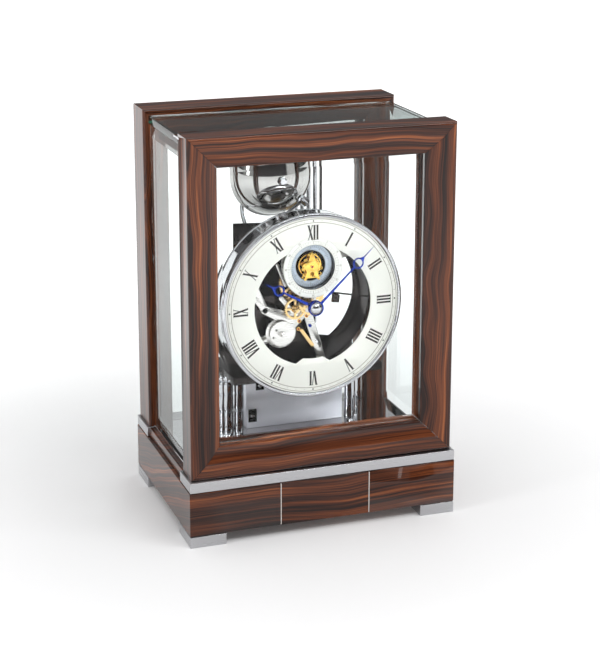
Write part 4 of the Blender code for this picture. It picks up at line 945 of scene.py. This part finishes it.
def balance_details(gold):
    """Timing screws round the balance's rim and its spring."""
    heads = []
    for i in range(12):
        turn = math.radians(30 * i + 15)
        x, up = RIM_R * math.cos(turn), RIM_R * math.sin(turn)
        head = turned("head", [(0.0, 0.75), (0.45, 0.75), (0.6, 0.6), (0.6, -0.75), (0.0, -0.75)],
                      Vector((x * MM, RIM_Y * MM, AXIS.z + (SUB_Y + up) * MM)), gold, False, 16)
        heads.append(head)
    show(joined("balance_screws", heads), "balance", "gold")
    coil = bpy.data.curves.new("hairspring", "CURVE")
    coil.dimensions = "3D"
    coil.bevel_depth = 0.09 * MM
    coil.bevel_resolution = 1
    coil.use_fill_caps = True
    spline = coil.splines.new("POLY")
    steps = 220
    spline.points.add(steps)
    for i, point in enumerate(spline.points):
        turn = 2 * math.pi * 5.5 * i / steps
        radius = 1.5 + 3.6 * i / steps
        up = SUB_Y + radius * math.sin(turn)
        point.co = (radius * math.cos(turn) * MM, SPRING_Y * MM, AXIS.z + up * MM, 1.0)
    drawn = bpy.data.objects.new("drawn", coil)
    bpy.context.scene.collection.objects.link(drawn)
    bpy.context.view_layer.update()
    mesh = bpy.data.meshes.new_from_object(drawn.evaluated_get(bpy.context.evaluated_depsgraph_get()))
    bpy.data.objects.remove(drawn)
    show(link("hairspring", mesh, MATERIALS["blued_steel"]), "balance", "blued_steel")


def make_tourbillon():
    gold, steel, dark = MATERIALS["gold"], MATERIALS["steel_ring"], MATERIALS["dark_plate"]
    ring_back = RING_BACK * MM
    place = Vector((0.0, ring_back, AXIS.z + SUB_Y * MM))
    ring = [(14.7, 0.9), (15.1, 1.25), (20.8, 1.9), (21.2, 1.6), (21.2, 0.0), (14.7, 0.0), (14.7, 0.9)]
    show(turned("seconds_ring", ring, place, steel, False, 144, 30.0), "case", "nickel")
    wall_deep = (ring_back - DIAL_BACK) / MM
    wall = [(21.3, wall_deep), (21.75, wall_deep), (21.75, 0.0), (21.3, 0.0), (21.3, wall_deep)]
    show(turned("seconds_well", wall, place, dark, False, 144), "case", "dark_plate")
    back = Vector((0.0, PLATE_FRONT - 0.2 * MM, AXIS.z + SUB_Y * MM))
    floor = [(2.6, 0.5), (21.2, 0.5), (21.2, 0.0), (2.6, 0.0), (2.6, 0.5)]
    show(turned("seconds_well_floor", floor, back, dark, False, 96), "case", "dark_plate")
    notches = []
    for i in range(60):
        reach = 17.6 if i % 5 else 16.4
        notches.append([(x, y + SUB_Y) for x, y in clockwise([(-0.14, reach), (0.14, reach), (0.14, 20.4),
                                                              (-0.14, 20.4)], 6 * i)])
    show(prisms("seconds_ring_scale", notches, ring_back - 1.2 * MM, 0.72, dark), "case", "dark_plate")
    refined("tourbillon_cage", gold, 0.10 * MM, 32.0)
    refined("balance_wheel", gold, 0.06 * MM, 32.0)
    balance_details(gold)
    face = CAGE_FACE * MM
    spots = {"top": (0.0, 10.2, 1.0), "foot_left": (-6.3, -11.0, 1.05), "foot_right": (6.3, -11.0, 1.05),
             "shoulder_left": (-6.4, 2.2, 0.85), "shoulder_right": (6.4, 2.2, 0.85),
             "waist": (0.0, -3.4, 0.8)}
    for i, (name, (x, up, radius)) in enumerate(spots.items()):
        screw("cage_screw_" + name, (x, SUB_Y + up), face, radius, 30 + 47 * i, gold, "tourbillon_cage", 0.4)
    jewel("cage_jewel", (0.0, SUB_Y), face, 1.7, "tourbillon_cage")
    scrolls = []
    for side in (-1, 1):
        for x, up, outer in ((6.2, 6.9, 1.5), (8.7, -1.9, 1.7), (7.4, -7.4, 1.9), (3.1, 11.6, 1.1)):
            at = (side * x, SUB_Y + up)
            loops = [circle(radius, at, 28) for radius in (outer, outer - 0.65)]
            scrolls.append(cut_out("scroll", loops, SCROLL_BACK * MM, 0.7, gold, 0.12))
    show(joined("cage_scrolls", scrolls), "tourbillon_cage", "gold")
    hoop_loops = [[(x, y + SUB_Y) for x, y in circle(r, steps=72)] for r in (11.3, 10.2)]
    show(cut_out("cage_hoop", hoop_loops, HOOP_BACK * MM, 0.7, gold, 0.12), "tourbillon_cage", "gold")


# ---------------------------------------------------------------- bell, rods and hammers
def make_strike():
    chrome, brass = MATERIALS["chrome"], MATERIALS["brass"]
    low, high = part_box("bell")
    radius = (high.x - low.x) / 2 / MM
    body_r, wall, depth, bore = radius - 3.0, 1.2, 30.0, 2.4

    def dome(reach, fall, drop):
        points = []
        for i in range(1, 25):
            turn = math.radians(90 * i / 24)
            r = reach * math.sin(turn)
            if r > bore:
                points.append((r, -fall * (1 - math.cos(turn)) - drop))
        return points

    outer = [(bore, -0.1)] + dome(body_r, depth, 0.0)
    lip = [(body_r + 0.6, -depth - 1.6), (body_r + 2.2, -depth - 3.2), (radius, -depth - 4.0),
           (radius - 0.3, -depth - 4.6), (radius - wall, -depth - 4.6), (body_r - 0.4, -depth - 2.0)]
    inner = dome(body_r - wall, depth - wall, wall)[::-1] + [(bore, -wall - 0.1)]
    profile = outer + lip + inner + [outer[0]]
    crown = Vector(((low.x + high.x) / 2, low.y, (low.z + high.z) / 2))
    stand_in(turned("bell_polished", profile, crown, MATERIALS["bell"], False, 128, 40.0), "bell")
    refined("bell_stand", chrome, 0.0, 40.0)
    refined("bell_hammer", chrome, 0.08 * MM, 34.0)
    for i in range(1, 5):
        low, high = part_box(f"gong_rod_{i}")
        r, length = (high.x - low.x) / 2.4 / MM, (high.z - low.z) / MM
        profile = [(0.0, length), (r * 1.2, length), (r * 1.2, length - 6.0), (r * 1.05, length - 6.5),
                   (r * 0.6, length - 9.0), (r * 0.6, length - 10.0), (r, length - 14.0), (r, 0.5),
                   (r - 0.4, 0.1), (0.0, 0.0)]
        place = Vector(((low.x + high.x) / 2, (low.y + high.y) / 2, low.z))
        stand_in(turned(f"gong_rod_{i}_polished", profile, place, chrome, True, 32), f"gong_rod_{i}")
        refined(f"chime_hammer_{i}", brass, 0.1 * MM, 34.0)
    refined("gong_block", MATERIALS["dark_plate"], 0.0, 40.0)
    refined("hammer_frame", MATERIALS["nickel"], 0.12 * MM, 34.0)


MATERIALS = make_materials()
make_camera()
make_studio()
make_case()
make_stand()
make_dial()
make_hands()
make_movement()
make_tourbillon()
make_strike()
missing = sorted(set(NODES) - set(SEEN))
if missing:
    raise ValueError(f"no finer piece for {missing}")
